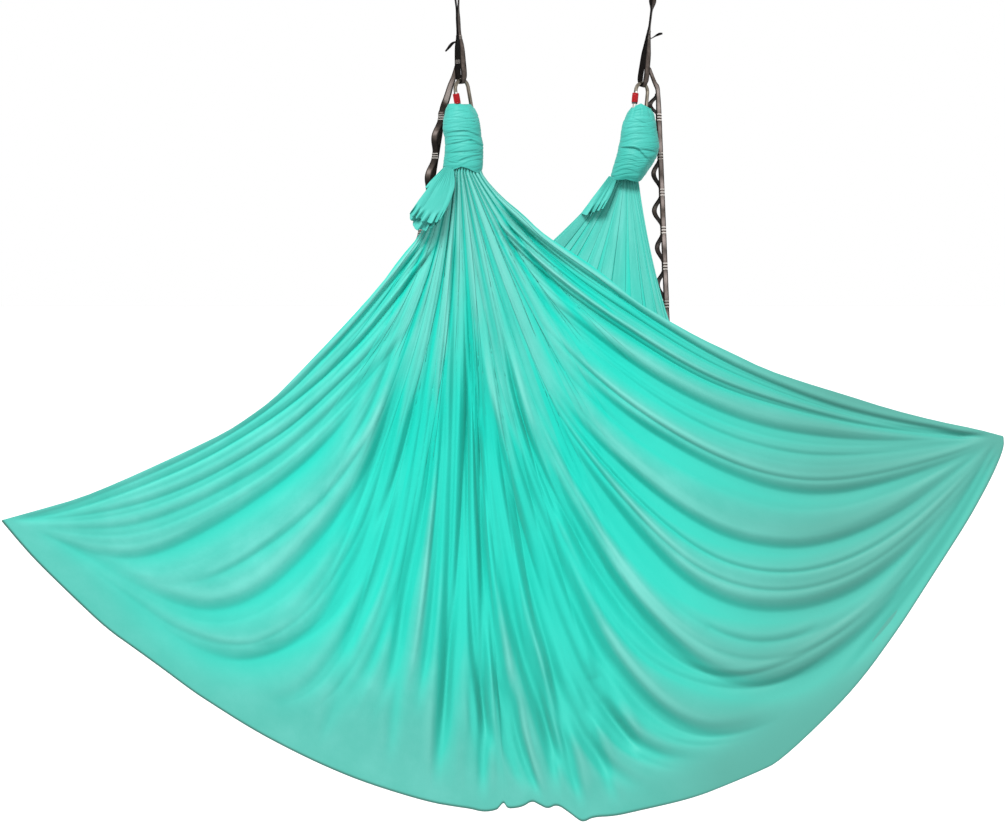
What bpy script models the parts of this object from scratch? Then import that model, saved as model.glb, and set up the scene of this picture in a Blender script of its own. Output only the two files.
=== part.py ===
"""Aerial hammock: a spread sling of cloth, knotted at both ends on screw-lock carabiners that hang on two sewn
daisy-chain straps from ceiling plates. Metres, +Z up. The origin is in the ceiling plane, midway between the two
hanging points. +Y is away from the viewer, and the line through the hanging points runs obliquely to it."""

import math

import bmesh
import bpy
import numpy as np
from mathutils import Matrix, Vector

# ---------------------------------------------------------------- driving dimensions
ANCHOR_X, ANCHOR_Y = 0.2375, 0.240  # half the distance between the hanging points
ANCHOR_TURN = math.atan2(ANCHOR_Y, ANCHOR_X)  # the line through them, seen from above
PLATE_R, PLATE_T = 0.045, 0.006
LUG_T, LUG_W, LUG_DROP = 0.012, 0.026, 0.036  # drop: ceiling plane to pin centre
PIN_R, PIN_HOLE_R = 0.0040, 0.0045
SHACKLE_BAR_R, SHACKLE_BOW_R, SHACKLE_LEG = 0.0045, 0.016, 0.037
PIVOT_DROP = LUG_DROP + SHACKLE_LEG  # strap's upper pivot: the centre of the shackle's bow
WEB_W, WEB_T = 0.018, 0.0020  # webbing
LOOP_W = 0.010  # webbing folded narrow inside a bow
BAR_R, BOW_R, STRAIGHT = 0.0045, 0.021, 0.053  # carabiner bar, bow and straight side
NOSE_Z, HINGE_Z = -0.0015, -0.0485  # both below the bow's centre
GATE_R, SLEEVE_R, SLEEVE_BORE, SLEEVE_L = 0.0046, 0.00775, 0.0050, 0.023
SLEEVE_TOP = -0.0060
COLLAR_H = 0.0032
GAP = 0.0003
CLOTH_T = 0.0020
PANEL_ACROSS, PANEL_DOWN = 26, 10
LOW_LEFT = Vector((-0.2243, -0.2266, -0.3285))  # the straps' lower pivots: the centres of the carabiners' bows
LOW_RIGHT = Vector((0.2065, 0.2086, -0.3240))
LEAN_LEFT, LEAN_RIGHT = math.radians(-14), math.radians(8)  # in the carabiner's own plane

# edge curves of the cloth, as cubic curves by their four control points
FRONT_LEFT = ((-0.270, -0.222, -0.520), (-0.363, -0.222, -0.919), (-0.835, -0.200, -1.190), (-1.297, -0.200, -1.330))
FRONT_RIGHT = ((-0.177, -0.222, -0.527), (0.050, -0.222, -0.793), (0.570, -0.100, -1.055), (1.043, -0.100, -1.140))
BACK_LEFT = ((0.130, 0.200, -0.539), (-0.028, 0.122, -0.734), (-0.725, -0.100, -1.338), (-1.297, -0.200, -1.330))
BACK_RIGHT = ((0.200, 0.205, -0.542), (0.244, 0.122, -0.897), (0.340, -0.020, -1.440), (1.043, -0.100, -1.140))
FOLD_LEFT = ((-1.297, -0.200, -1.330), (-1.093, -0.200, -1.564), (-0.653, -0.150, -1.971), (-0.136, -0.150, -2.018))
FOLD_RIGHT = ((0.057, -0.150, -2.042), (0.405, -0.150, -1.995), (0.809, -0.100, -1.788), (1.043, -0.100, -1.140))

for thing in list(bpy.data.objects):
    bpy.data.objects.remove(thing, do_unlink=True)

hammock = bpy.data.collections.new("aerial_hammock")
tools = bpy.data.collections.new("cutters")
bpy.context.scene.collection.children.link(hammock)
bpy.context.scene.collection.children.link(tools)
tools.hide_render = True


# ---------------------------------------------------------------- helpers
def material(name, colour, rough, metal=0.0):
    m = bpy.data.materials.new(name)
    m.use_nodes = True
    shader = m.node_tree.nodes["Principled BSDF"]
    shader.inputs["Base Color"].default_value = (*colour, 1)
    shader.inputs["Roughness"].default_value = rough
    shader.inputs["Metallic"].default_value = metal
    return m


TURQUOISE, BLACK, STEEL, RED, GREY = (0.10, 0.66, 0.53), (0.02, 0.018, 0.016), (0.42, 0.40, 0.38), (0.55, 0.01, 0.02), (0.25, 0.25, 0.26)


def own(obj, look):
    """Gives a finished piece its own material and puts it in the hammock's collection."""
    colour, rough, metal = look
    obj.data.materials.clear()
    obj.data.materials.append(material(obj.name, colour, rough, metal))
    for c in list(obj.users_collection):
        c.objects.unlink(obj)
    hammock.objects.link(obj)
    return obj


def cutter(obj):
    for c in list(obj.users_collection):
        c.objects.unlink(obj)
    tools.objects.link(obj)
    obj.hide_render = True
    obj.display_type = "WIRE"
    return obj


def boolean(obj, other, operation="DIFFERENCE"):
    mod = obj.modifiers.new(other.name, "BOOLEAN")
    mod.operation, mod.solver, mod.object = operation, "EXACT", other
    cutter(other)
    return obj


def smooth(obj, angle=35):
    obj.data.shade_smooth()
    obj.data.set_sharp_from_angle(angle=math.radians(angle))
    return obj


def mesh_object(name, bm, place=Matrix()):
    bmesh.ops.recalc_face_normals(bm, faces=bm.faces)
    data = bpy.data.meshes.new(name)
    bm.to_mesh(data)
    bm.free()
    obj = bpy.data.objects.new(name, data)
    hammock.objects.link(obj)
    obj.matrix_world = place
    return obj


def cylinder(name, radius, length, axis, centre, place=Matrix(), steps=20):
    """A cylinder along X, Y or Z of its own frame, centred."""
    bm = bmesh.new()
    turn = {"X": Matrix.Rotation(math.pi / 2, 4, "Y"), "Y": Matrix.Rotation(math.pi / 2, 4, "X"), "Z": Matrix()}[axis]
    bmesh.ops.create_cone(bm, cap_ends=True, segments=steps, radius1=radius, radius2=radius, depth=length, matrix=Matrix.Translation(centre) @ turn)
    return smooth(mesh_object(name, bm, place))


def box(name, low, high, place=Matrix()):
    bm = bmesh.new()
    low, high = Vector(low), Vector(high)
    bmesh.ops.create_cube(bm, size=1, matrix=Matrix.Translation((low + high) / 2) @ Matrix.Diagonal((*(high - low), 1)))
    return mesh_object(name, bm, place)


def to_mesh(curve_obj, place):
    """The curve's evaluated mesh as a mesh object, caps welded to its sides."""
    bpy.context.view_layer.update()
    graph = bpy.context.evaluated_depsgraph_get()
    data = bpy.data.meshes.new_from_object(curve_obj.evaluated_get(graph))
    name = curve_obj.name
    old = curve_obj.data
    bpy.data.objects.remove(curve_obj, do_unlink=True)
    bpy.data.curves.remove(old)
    bm = bmesh.new()
    bm.from_mesh(data)
    bmesh.ops.remove_doubles(bm, verts=bm.verts, dist=1e-6)
    bmesh.ops.recalc_face_normals(bm, faces=bm.faces)
    bm.to_mesh(data)
    bm.free()
    data.name = name
    obj = bpy.data.objects.new(name, data)
    hammock.objects.link(obj)
    obj.matrix_world = place
    return obj


def rod(name, points, radius, place=Matrix(), sides=12, cyclic=False):
    """A round bar along a path, with filled ends."""
    curve = bpy.data.curves.new(name, "CURVE")
    curve.dimensions = "3D"
    curve.bevel_depth, curve.bevel_resolution, curve.use_fill_caps = radius, (sides - 4) // 2, True
    line = curve.splines.new("POLY")
    line.points.add(len(points) - 1)
    for p, at in zip(line.points, points):
        p.co = (*at, 1)
    line.use_cyclic_u = cyclic
    obj = bpy.data.objects.new(name, curve)
    hammock.objects.link(obj)
    return smooth(to_mesh(obj, place))


def slab(name, outlines, width, turn, place=Matrix()):
    """A flat outline with its holes, extruded to a width. turn stands it up: its own X, Y to two axes of the frame."""
    curve = bpy.data.curves.new(name, "CURVE")
    curve.dimensions, curve.fill_mode, curve.extrude = "2D", "BOTH", width / 2
    for outline in outlines:
        line = curve.splines.new("POLY")
        line.points.add(len(outline) - 1)
        for p, at in zip(line.points, outline):
            p.co = (at[0], at[1], 0, 1)
        line.use_cyclic_u = True
    obj = bpy.data.objects.new(name, curve)
    hammock.objects.link(obj)
    made = to_mesh(obj, Matrix())
    made.data.transform(turn)
    if turn.determinant() < 0:
        made.data.flip_normals()
    made.matrix_world = place
    return smooth(made)


STAND_X = Matrix(((1, 0, 0, 0), (0, 0, -1, 0), (0, 1, 0, 0), (0, 0, 0, 1)))  # outline x, y -> frame X, Z, extruded along Y
STAND_Y = Matrix(((0, 0, 1, 0), (1, 0, 0, 0), (0, 1, 0, 0), (0, 0, 0, 1)))  # outline x, y -> frame Y, Z, extruded along X


def lathe(name, profile, place=Matrix(), steps=24):
    """A profile of (radius, z), from the top down its outer side and back up its inner side, turned about Z."""
    bm = bmesh.new()
    verts = [bm.verts.new((r, 0, z)) for r, z in profile]
    closed = profile[0][0] > 1e-6
    for a, b in zip(verts, verts[1:] + (verts[:1] if closed else [])):
        bm.edges.new((a, b))
    data = bpy.data.meshes.new(name)
    bm.to_mesh(data)
    bm.free()
    obj = bpy.data.objects.new(name, data)
    hammock.objects.link(obj)
    mod = obj.modifiers.new("turned", "SCREW")
    mod.steps = mod.render_steps = steps
    mod.use_merge_vertices, mod.merge_threshold = True, 1e-6
    mod.use_smooth_shade = True
    obj.matrix_world = place
    return obj


def arc(centre, radius, start, end, steps):
    """Points (x, z) of an arc, angles in degrees from +X towards +Z."""
    angles = [math.radians(start + (end - start) * i / steps) for i in range(steps + 1)]
    return [(centre[0] + radius * math.cos(a), centre[1] + radius * math.sin(a)) for a in angles]


def cubic(points, t):
    p = [np.array(q) for q in points]
    s = 1 - t
    return s**3 * p[0] + 3 * s * s * t * p[1] + 3 * s * t * t * p[2] + t**3 * p[3]


def facing(at, lean=0.0):
    """The frame of a side's metalwork: its X runs along the line through the hanging points, leaned in that plane."""
    return Matrix.Translation(at) @ Matrix.Rotation(ANCHOR_TURN, 4, "Z") @ Matrix.Rotation(lean, 4, "Y")


# ---------------------------------------------------------------- one side's metalwork
def ceiling_fitting(side, x, y):
    """Plate with a lug, two screws, and the bow shackle that hangs in the lug."""
    at = facing((x, y, 0))
    bm = bmesh.new()
    bmesh.ops.create_cone(bm, cap_ends=True, segments=40, radius1=PLATE_R, radius2=PLATE_R, depth=PLATE_T, matrix=Matrix.Translation((0, 0, -PLATE_T / 2)))
    plate = smooth(mesh_object(f"ceiling_plate_{side}", bm, at))
    half = LUG_W / 2
    ear = [(-half - 0.006, -PLATE_T + 0.001), (-half, -PLATE_T - 0.006)] + arc((0, -LUG_DROP), half, 180, 360, 14) + [(half, -PLATE_T - 0.006), (half + 0.006, -PLATE_T + 0.001)]
    lug = slab(f"cut_lug_{side}", [ear], LUG_T, STAND_Y, at)
    boolean(plate, lug, "UNION")
    boolean(plate, cylinder(f"cut_pin_hole_{side}", PIN_HOLE_R, 0.05, "X", (0, 0, -LUG_DROP), at, 24))
    for i, off in enumerate((-0.032, 0.032)):
        boolean(plate, cylinder(f"cut_screw_hole_{side}_{i}", 0.0030, 0.03, "Z", (off, 0, 0), at))
        screw_at = at @ Matrix.Translation((off, 0, 0))
        profile = [(0, -0.0004), (0.0025, -0.0004), (0.0027, -0.0008), (0.0027, -PLATE_T - GAP), (0.0060, -PLATE_T - GAP), (0.0064, -PLATE_T - 0.0010), (0.0060, -PLATE_T - 0.0034), (0.0034, -PLATE_T - 0.0046), (0, -PLATE_T - 0.0048)]
        screw = lathe(f"plate_screw_{side}_{i + 1}", profile, screw_at, 12)
        boolean(screw, cylinder(f"cut_socket_{side}_{i}", 0.0022, 0.004, "Z", (0, 0, -PLATE_T - 0.0048), screw_at, 6))
        own(screw, (GREY, 0.35, 1.0))
    own(plate, (STEEL, 0.45, 1.0))

    pin_at = facing((x, y, -LUG_DROP))
    r = SHACKLE_BOW_R
    path = [(-r, -0.002)] + [(-r, -SHACKLE_LEG * k / 3) for k in (2,)] + arc((0, -SHACKLE_LEG), r, 180, 360, 12) + [(r, -SHACKLE_LEG * k / 3) for k in (2,)] + [(r, -0.002)]
    shackle = rod(f"shackle_{side}", [(s, 0, z) for s, z in path], SHACKLE_BAR_R, pin_at, 10)
    for i, s in enumerate((-r, r)):
        boolean(shackle, cylinder(f"cut_ear_{side}_{i}", 0.0085, 0.0085, "X", (s, 0, 0), pin_at, 16), "UNION")
    boolean(shackle, cylinder(f"cut_ear_hole_{side}", PIN_R + GAP, 0.06, "X", (0, 0, 0), pin_at, 16))
    own(shackle, (STEEL, 0.35, 1.0))
    pin = cylinder(f"shackle_pin_{side}", PIN_R, 2 * r + 0.012, "X", (0.0005, 0, 0), pin_at, 16)
    head = cylinder(f"cut_head_{side}", 0.0075, 0.005, "X", (r + 0.00425 + GAP + 0.0025, 0, 0), pin_at, 16)
    boolean(pin, head, "UNION")
    own(pin, (STEEL, 0.35, 1.0))


def carabiner(side, low, lean):
    """Frame, gate, rivet, spring, collar and lock sleeve, in a frame whose origin is the centre of the top bow."""
    at = facing(low, lean)
    down = -STRAIGHT
    path = [(-BOW_R, NOSE_Z + GAP), (-BOW_R, 0)] + arc((0, 0), BOW_R, 180, 0, 12)[1:] + arc((0, down), BOW_R, 0, -177.5, 12)
    frame = rod(f"carabiner_frame_{side}", [(s, 0, z) for s, z in path], BAR_R, at, 10)
    tongue = [(-BOW_R - 0.004, HINGE_Z - 0.009), (-BOW_R + 0.004, HINGE_Z - 0.009)] + arc((-BOW_R, HINGE_Z), 0.004, 0, 180, 10)
    boolean(frame, slab(f"cut_tongue_{side}", [tongue], 0.0036, STAND_X, at), "UNION")
    boolean(frame, box(f"cut_nose_{side}", (-BOW_R - 0.0024, -0.0015, -0.0046), (-BOW_R + 0.0024, 0.0015, -0.0003), at), "UNION")
    boolean(frame, cylinder(f"cut_tongue_hole_{side}", 0.00155, 0.02, "Y", (-BOW_R, 0, HINGE_Z), at, 16))
    own(frame, (STEEL, 0.35, 1.0))

    hinge = at @ Matrix.Translation((-BOW_R, 0, HINGE_Z))
    top = NOSE_Z - 0.0001 - HINGE_Z
    gate = cylinder(f"carabiner_gate_{side}", GATE_R, top + 0.006, "Z", (0, 0, (top - 0.006) / 2), hinge, 20)
    rounded = arc((0, 0), GATE_R - 0.00015, 180, 360, 9) + [(GATE_R + 0.002, 0.001), (GATE_R + 0.002, top + 0.002), (-GATE_R - 0.002, top + 0.002), (-GATE_R - 0.002, 0.001)]
    boolean(gate, slab(f"cut_gate_end_{side}", [rounded], 0.02, STAND_X, hinge), "INTERSECT")
    boolean(gate, box(f"cut_gate_slot_{side}", (-0.01, -0.0021, -0.01), (0.01, 0.0021, 0.0045), hinge))
    boolean(gate, box(f"cut_gate_top_{side}", (-0.01, -0.0019, top - 0.0052), (0.0029, 0.0019, top + 0.01), hinge))
    boolean(gate, cylinder(f"cut_gate_bore_{side}", 0.0025, 0.018, "Z", (0, 0, 0.0120), hinge, 16))
    boolean(gate, cylinder(f"cut_gate_hole_{side}", 0.00155, 0.02, "Y", (0, 0, 0), hinge, 16))
    own(gate, (STEEL, 0.30, 1.0))

    rivet = cylinder(f"gate_rivet_{side}", 0.00125, 0.0108, "Y", (0, 0, 0), hinge, 12)
    for i, n in enumerate((-0.0053, 0.0053)):
        boolean(rivet, cylinder(f"cut_rivet_head_{side}_{i}", 0.0023, 0.0008, "Y", (0, n, 0), hinge, 12), "UNION")
    own(rivet, (STEEL, 0.30, 1.0))

    turns, per = 5, 8
    coil = [(0.0017 * math.cos(2 * math.pi * i / per), 0.0017 * math.sin(2 * math.pi * i / per), 0.0052 + 0.0148 * i / (turns * per)) for i in range(turns * per + 1)]
    own(rod(f"gate_spring_{side}", coil, 0.0003, hinge, sides=4), (STEEL, 0.30, 1.0))

    lift = SLEEVE_TOP - HINGE_Z
    R, B, L = SLEEVE_R, SLEEVE_BORE, SLEEVE_L
    sleeve_at = at @ Matrix.Translation((-BOW_R, 0, SLEEVE_TOP))
    profile = [(B, 0), (R - 0.0010, 0), (R, -0.0012), (R, -0.0030), (R - 0.0006, -0.0036), (R, -0.0042), (R, -L + 0.0012), (R - 0.0010, -L), (B, -L)]
    own(lathe(f"lock_sleeve_{side}", profile, sleeve_at, 20), (RED, 0.30, 0.0))
    collar_at = at @ Matrix.Translation((-BOW_R, 0, SLEEVE_TOP - L - GAP))
    H = COLLAR_H
    profile = [(B, 0), (0.0066, 0), (0.0071, -0.0005), (0.0071, -H + 0.0005), (0.0066, -H), (B, -H)]
    own(lathe(f"lock_collar_{side}", profile, collar_at, 20), (BLACK, 0.35, 0.0))
    return at


# ---------------------------------------------------------------- straps
def strap(side, x, y, low):
    """The loaded length of the daisy chain: a loop over the shackle's bow, bar tacks, and the pocket that holds the carabiner."""
    top = Vector((x, y, -PIVOT_DROP))
    run = low - top
    tilt = math.atan2(-run.x * math.cos(ANCHOR_TURN) - run.y * math.sin(ANCHOR_TURN), -run.z)
    at = facing(top, tilt)
    length = run.length
    end = -length + 0.0132 - 0.001
    # half widths of the outer side, from the top loop to the pocket, as (half width, height)
    outer_half = [(0.0030, -0.0062), (0.0056, -0.0070), (0.0070, -0.0100), (0.0070, -0.0225), (0.0058, -0.036), (0.0030, -0.056), (0.0030, -0.100), (0.0045, -0.112), (0.0030, -0.124), (0.0030, -0.134), (0.0078, -0.152), (0.0100, -length + 0.052), (0.0086, -length + 0.034), (0.0070, -length + 0.024), (0.0070, end + 0.003), (0.0056, end), (0.0030, end - 0.0010)]
    top_hole = [(0.0000, -0.0092), (0.0036, -0.0092), (0.0050, -0.0108), (0.0050, -0.0222), (0.0036, -0.036), (0.0002, -0.051)]
    low_hole = [(0.0002, -0.140), (0.0056, -0.154), (0.0079, -length + 0.052), (0.0066, -length + 0.034), (0.0050, -length + 0.024), (0.0050, end + 0.0042), (0.0036, end + 0.0026), (0.0, end + 0.0026)]

    def both(half):
        right = [(n, z) for n, z in half]
        return right + [(-n, z) for n, z in reversed(half) if n > 1e-5]

    obj = slab(f"strap_{side}", [both(outer_half), both(top_hole), both(low_hole)], WEB_W, STAND_Y, at)
    for i, (lo, hi) in enumerate(((-0.024, 0.01), (end - 0.01, -length + 0.030))):
        for j, s in enumerate((-1, 1)):
            a, b = sorted((s * LOOP_W / 2, s * 0.03))
            boolean(obj, box(f"cut_narrow_{side}_{i}{j}", (a, -0.03, lo), (b, 0.03, hi), at))
    own(obj, (BLACK, 0.6, 0.0))
    # the stiff folded end of the webbing sticks out to the side, above the pocket
    line, half, depth = {
        "left": ([(-0.2421, -0.2216), (-0.2455, -0.2226), (-0.2513, -0.2284), (-0.2571, -0.2353), (-0.2617, -0.2411)], (0.0012, 0.0020, 0.0026, 0.0022, 0.0012), -0.2334),
        "right": ([(0.2324, -0.1932), (0.2393, -0.1884), (0.2466, -0.1842), (0.2551, -0.1824)], (0.0009, 0.0013, 0.0024, 0.0024), 0.2289),
    }[side]
    upper, lower = [], []
    for k, (px, pz) in enumerate(line):
        a, b = line[max(k - 1, 0)], line[min(k + 1, len(line) - 1)]
        d = Vector((b[0] - a[0], b[1] - a[1])).normalized() * half[k]
        upper.append((px - d.y, pz + d.x))
        lower.append((px + d.y, pz - d.x))
    own(slab(f"strap_tab_{side}", [upper + lower[::-1]], 0.014, STAND_X, Matrix.Translation((0, depth, 0))), (BLACK, 0.5, 0.0))


def tail(side, base, depth, drop_to, bulge, tacks, lead):
    """The unused length of the daisy chain. lead is its line from the loaded strap down to the first bar tack, base gives
    the tape's x at a height below that, and the second tape bulges into pockets between bar tacks."""
    t = 0.0024
    at = Matrix.Translation((0, depth, 0))
    line = list(lead) + [(base(z), depth, z) for z in np.linspace(tacks[0], drop_to, 40)]
    rings = [[(x + t / 2, y + WEB_W / 2, z), (x - t / 2, y + WEB_W / 2, z), (x - t / 2, y - WEB_W / 2, z), (x + t / 2, y - WEB_W / 2, z)] for x, y, z in line]
    rings_solid(f"strap_tail_{side}", rings, (BLACK, 0.6, 0.0))

    def lift(z):
        for a, b in zip(tacks, tacks[1:]):
            if b <= z <= a:
                u = (a - z) / (a - b)
                u = min(max((u - 0.12) / 0.76, 0), 1)
                return bulge * math.sin(math.pi * u) ** 1.3
        return 0.0

    inner = [(base(z) - t / 2 - 0.0005 - lift(z), z) for z in np.linspace(tacks[0] - 0.002, tacks[-1], 50)]
    out = []
    for k, (x, z) in enumerate(inner):
        a, b = inner[max(k - 1, 0)], inner[min(k + 1, len(inner) - 1)]
        d = Vector((b[0] - a[0], b[1] - a[1])).normalized()
        out.append((x + d.y * 0.0018, z - d.x * 0.0018))
    own(slab(f"tail_pockets_{side}", [inner + out[::-1]], WEB_W - 0.002, STAND_X, at), (BLACK, 0.6, 0.0))


# ---------------------------------------------------------------- cloth
def rings_solid(name, rings, look):
    """A closed body through rings of equal counts, the first and last filled."""
    bm = bmesh.new()
    rows = [[bm.verts.new(p) for p in ring] for ring in rings]
    n = len(rows[0])
    for a, b in zip(rows, rows[1:]):
        for i in range(n):
            bm.faces.new((a[i], a[(i + 1) % n], b[(i + 1) % n], b[i]))
    bm.faces.new(rows[0])
    bm.faces.new(rows[-1][::-1])
    return own(smooth(mesh_object(name, bm), 50), look)


def knot(side, low, lean, rows, depth, y0):
    """Cloth wrapped and pulled down over the carabiner's lower bow, which runs through it in a tunnel."""
    rings = []
    for z, cx, hw in rows:
        k = hw / max(r[2] for r in rows)
        rings.append([(cx + hw * math.cos(a), y0 + depth * k * math.sin(a), z) for a in np.linspace(0, 2 * math.pi, 20, endpoint=False)])
    obj = rings_solid(f"knot_{side}", rings, (TURQUOISE, 0.6, 0.0))
    at = facing(low, lean)
    down = -STRAIGHT
    path = [(BOW_R, -0.010), (BOW_R, down / 2)] + arc((0, down), BOW_R, 0, -178, 12)
    boolean(obj, rod(f"cut_tunnel_{side}", [(s, 0, z) for s, z in path], BAR_R + 0.0007, at, 10))
    boolean(obj, box(f"cut_gate_way_{side}", (-BOW_R - 0.0085, -0.0084, HINGE_Z - 0.0094), (-BOW_R + 0.0150, 0.0084, 0.0), at))
    return obj


def fold_point(a):
    """The bottom fold, from the left tip (0) through the middle to the right tip (1)."""
    if a < 0.46:
        return cubic(FOLD_LEFT, a / 0.46)
    if a > 0.54:
        return cubic(FOLD_RIGHT, (a - 0.54) / 0.46)
    u = (a - 0.46) / 0.08
    return (1 - u) * np.array(FOLD_LEFT[3]) + u * np.array(FOLD_RIGHT[0])


def half_surface(left, right, a, t, shift):
    """A point of one half of the sling: along a lengthwise strand a (across the cloth), from its knot (t = 0) to the fold (t = 1)."""
    P0 = (1 - a) * np.array(left[0]) + a * np.array(right[0])
    P3 = fold_point(a) + np.array((0, shift, 0))
    chord = P3 - P0
    P1, P2 = P0 + chord / 3, P0 + chord * 2 / 3
    for edge, weight in ((left, max(0.0, 1 - 2 * a) ** 1.5), (right, max(0.0, 2 * a - 1) ** 1.5)):
        e = [np.array(p) for p in edge]
        P1 = P1 + weight * (e[1] - (e[0] + (e[3] - e[0]) / 3))
        P2 = P2 + weight * (e[2] - (e[0] + (e[3] - e[0]) * 2 / 3))
    return cubic((P0, P1, P2, P3), t)


def panel(name, left, right, shift, neck):
    """One half of the sling as a thin solid, thick as a bundle under its knot."""
    grid = [[half_surface(left, right, i / PANEL_ACROSS, (j / PANEL_DOWN) ** 1.15, shift) for j in range(PANEL_DOWN + 1)] for i in range(PANEL_ACROSS + 1)]
    grid = np.array(grid)
    du = np.gradient(grid, axis=0)
    dt = np.gradient(grid, axis=1)
    normal = np.cross(du, dt)
    normal /= np.linalg.norm(normal, axis=2)[..., None] + 1e-12
    normal[normal[..., 1] > 0] *= -1
    half = np.zeros(grid.shape[:2])
    for j in range(PANEL_DOWN + 1):
        half[:, j] = CLOTH_T / 2 + neck * max(0.0, 1 - (j / PANEL_DOWN) / 0.35) ** 2
    round_off = np.sqrt(np.clip(1 - (2 * np.linspace(0, 1, PANEL_ACROSS + 1) - 1) ** 2, 0.02, 1))[:, None]
    half = CLOTH_T / 2 + (half - CLOTH_T / 2) * round_off
    toward = np.zeros_like(normal)
    toward[..., 1] = -1
    w = np.clip(1 - np.linspace(0, 1, PANEL_DOWN + 1) / 0.35, 0, 1)[None, :, None]
    normal = normal * (1 - w) + toward * w
    normal /= np.linalg.norm(normal, axis=2)[..., None]
    # at the tips the fold and the edge meet in a point, so the sheet narrows there with the edge's own direction
    bm = bmesh.new()
    front = [[bm.verts.new(p) for p in row] for row in grid + normal * half[..., None]]
    back = [[bm.verts.new(p) for p in row] for row in grid - normal * half[..., None]]
    for i in range(PANEL_ACROSS):
        for j in range(PANEL_DOWN):
            bm.faces.new((front[i][j], front[i + 1][j], front[i + 1][j + 1], front[i][j + 1]))
            bm.faces.new((back[i][j], back[i][j + 1], back[i + 1][j + 1], back[i + 1][j]))
    rim = [(i, 0) for i in range(PANEL_ACROSS)] + [(PANEL_ACROSS, j) for j in range(PANEL_DOWN)] + [(i, PANEL_DOWN) for i in range(PANEL_ACROSS, 0, -1)] + [(0, j) for j in range(PANEL_DOWN, 0, -1)]
    for (i, j), (k, l) in zip(rim, rim[1:] + rim[:1]):
        bm.faces.new((front[i][j], back[i][j], back[k][l], front[k][l]))
    return own(smooth(mesh_object(name, bm), 50), (TURQUOISE, 0.6, 0.0))


def free_end(name, rows, thick, y):
    """A free end of the cloth: a flattened bundle through rows of (z, left x, right x)."""
    rings = []
    for k, (z, x0, x1, lean) in enumerate(rows):
        h = thick / 2 * (0.75 + 0.25 * math.sin(math.pi * k / (len(rows) - 1)))
        cx, hw = (x0 + x1) / 2, (x1 - x0) / 2
        rings.append([(cx + hw * math.cos(a), y + h * math.sin(a), z + lean * math.cos(a)) for a in np.linspace(0, 2 * math.pi, 14, endpoint=False)])
    return rings_solid(name, rings, (TURQUOISE, 0.6, 0.0))


# ---------------------------------------------------------------- build
for side, sign, low, lean in (("left", -1, LOW_LEFT, LEAN_LEFT), ("right", 1, LOW_RIGHT, LEAN_RIGHT)):
    ceiling_fitting(side, sign * ANCHOR_X, sign * ANCHOR_Y)
    carabiner(side, low, lean)
    strap(side, sign * ANCHOR_X, sign * ANCHOR_Y, low)

# knots: rows of (height, centre x, half width), from the top band over the waist to the lower band
knot("left", LOW_LEFT, LEAN_LEFT, ((-0.3635, -0.2290, 0.0270), (-0.3720, -0.2270, 0.0350), (-0.3830, -0.2255, 0.0390), (-0.4000, -0.2250, 0.0430), (-0.4250, -0.2243, 0.0446), (-0.4392, -0.2212, 0.0436), (-0.4576, -0.2188, 0.0448), (-0.4854, -0.2197, 0.0457), (-0.5039, -0.2215, 0.0461), (-0.5150, -0.2235, 0.0450)), 0.040, -0.218)
knot("right", LOW_RIGHT, LEAN_RIGHT, ((-0.3635, 0.2049, 0.0240), (-0.3725, 0.2037, 0.0330), (-0.3918, 0.2013, 0.0399), (-0.4160, 0.2002, 0.0435), (-0.4401, 0.2010, 0.0470), (-0.4570, 0.2000, 0.0500), (-0.4811, 0.1942, 0.0496), (-0.5053, 0.1850, 0.0478), (-0.5250, 0.1745, 0.0430), (-0.5345, 0.1690, 0.0380)), 0.042, 0.203)

panel("sling_front", FRONT_LEFT, FRONT_RIGHT, -0.0015, 0.020)
panel("sling_back", BACK_LEFT, BACK_RIGHT, 0.0015, 0.018)

free_end("cloth_end_left", ((-0.519, -0.268, -0.246, 0.0), (-0.550, -0.300, -0.243, 0.0), (-0.575, -0.306, -0.247, 0.004), (-0.605, -0.334, -0.258, 0.006), (-0.632, -0.340, -0.275, 0.004), (-0.646, -0.325, -0.290, 0.0)), 0.020, -0.268)
free_end("cloth_end_right", ((-0.541, 0.112, 0.128, 0.0), (-0.565, 0.100, 0.125, 0.0), (-0.590, 0.086, 0.122, 0.003), (-0.612, 0.066, 0.112, 0.004), (-0.628, 0.064, 0.092, 0.002)), 0.014, 0.160)

tail("left", lambda z: -0.2640 - 0.160 * (-0.345 - z) - 0.03 * max(0, -0.52 - z), -0.165, -0.800, 0.020, (-0.375, -0.392, -0.482, -0.572, -0.660, -0.745, -0.795), ((-0.2450, -0.2235, -0.3000), (-0.2502, -0.2110, -0.3189), (-0.2574, -0.1900, -0.3438), (-0.2650, -0.1710, -0.3640)))
tail("right", lambda z: 0.2480 + 0.042 * (-0.335 - z), 0.246, -0.935, 0.026, (-0.325, -0.384, -0.478, -0.566, -0.658, -0.746, -0.838, -0.925), ((0.2335, 0.2190, -0.2878), (0.2400, 0.2290, -0.2990), (0.2455, 0.2400, -0.3110)))
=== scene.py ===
"""Looks of the aerial hammock: a pleated sling of turquoise tricot knotted on two screw-lock carabiners, hung on two
sewn daisy-chain straps. Metres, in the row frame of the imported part. Places given in px are points of the photograph's
1005 x 824 frame, unprojected at a stated depth y with the scene's own camera."""

import math

import bmesh
import bpy
import numpy as np
from mathutils import Matrix, Vector


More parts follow.
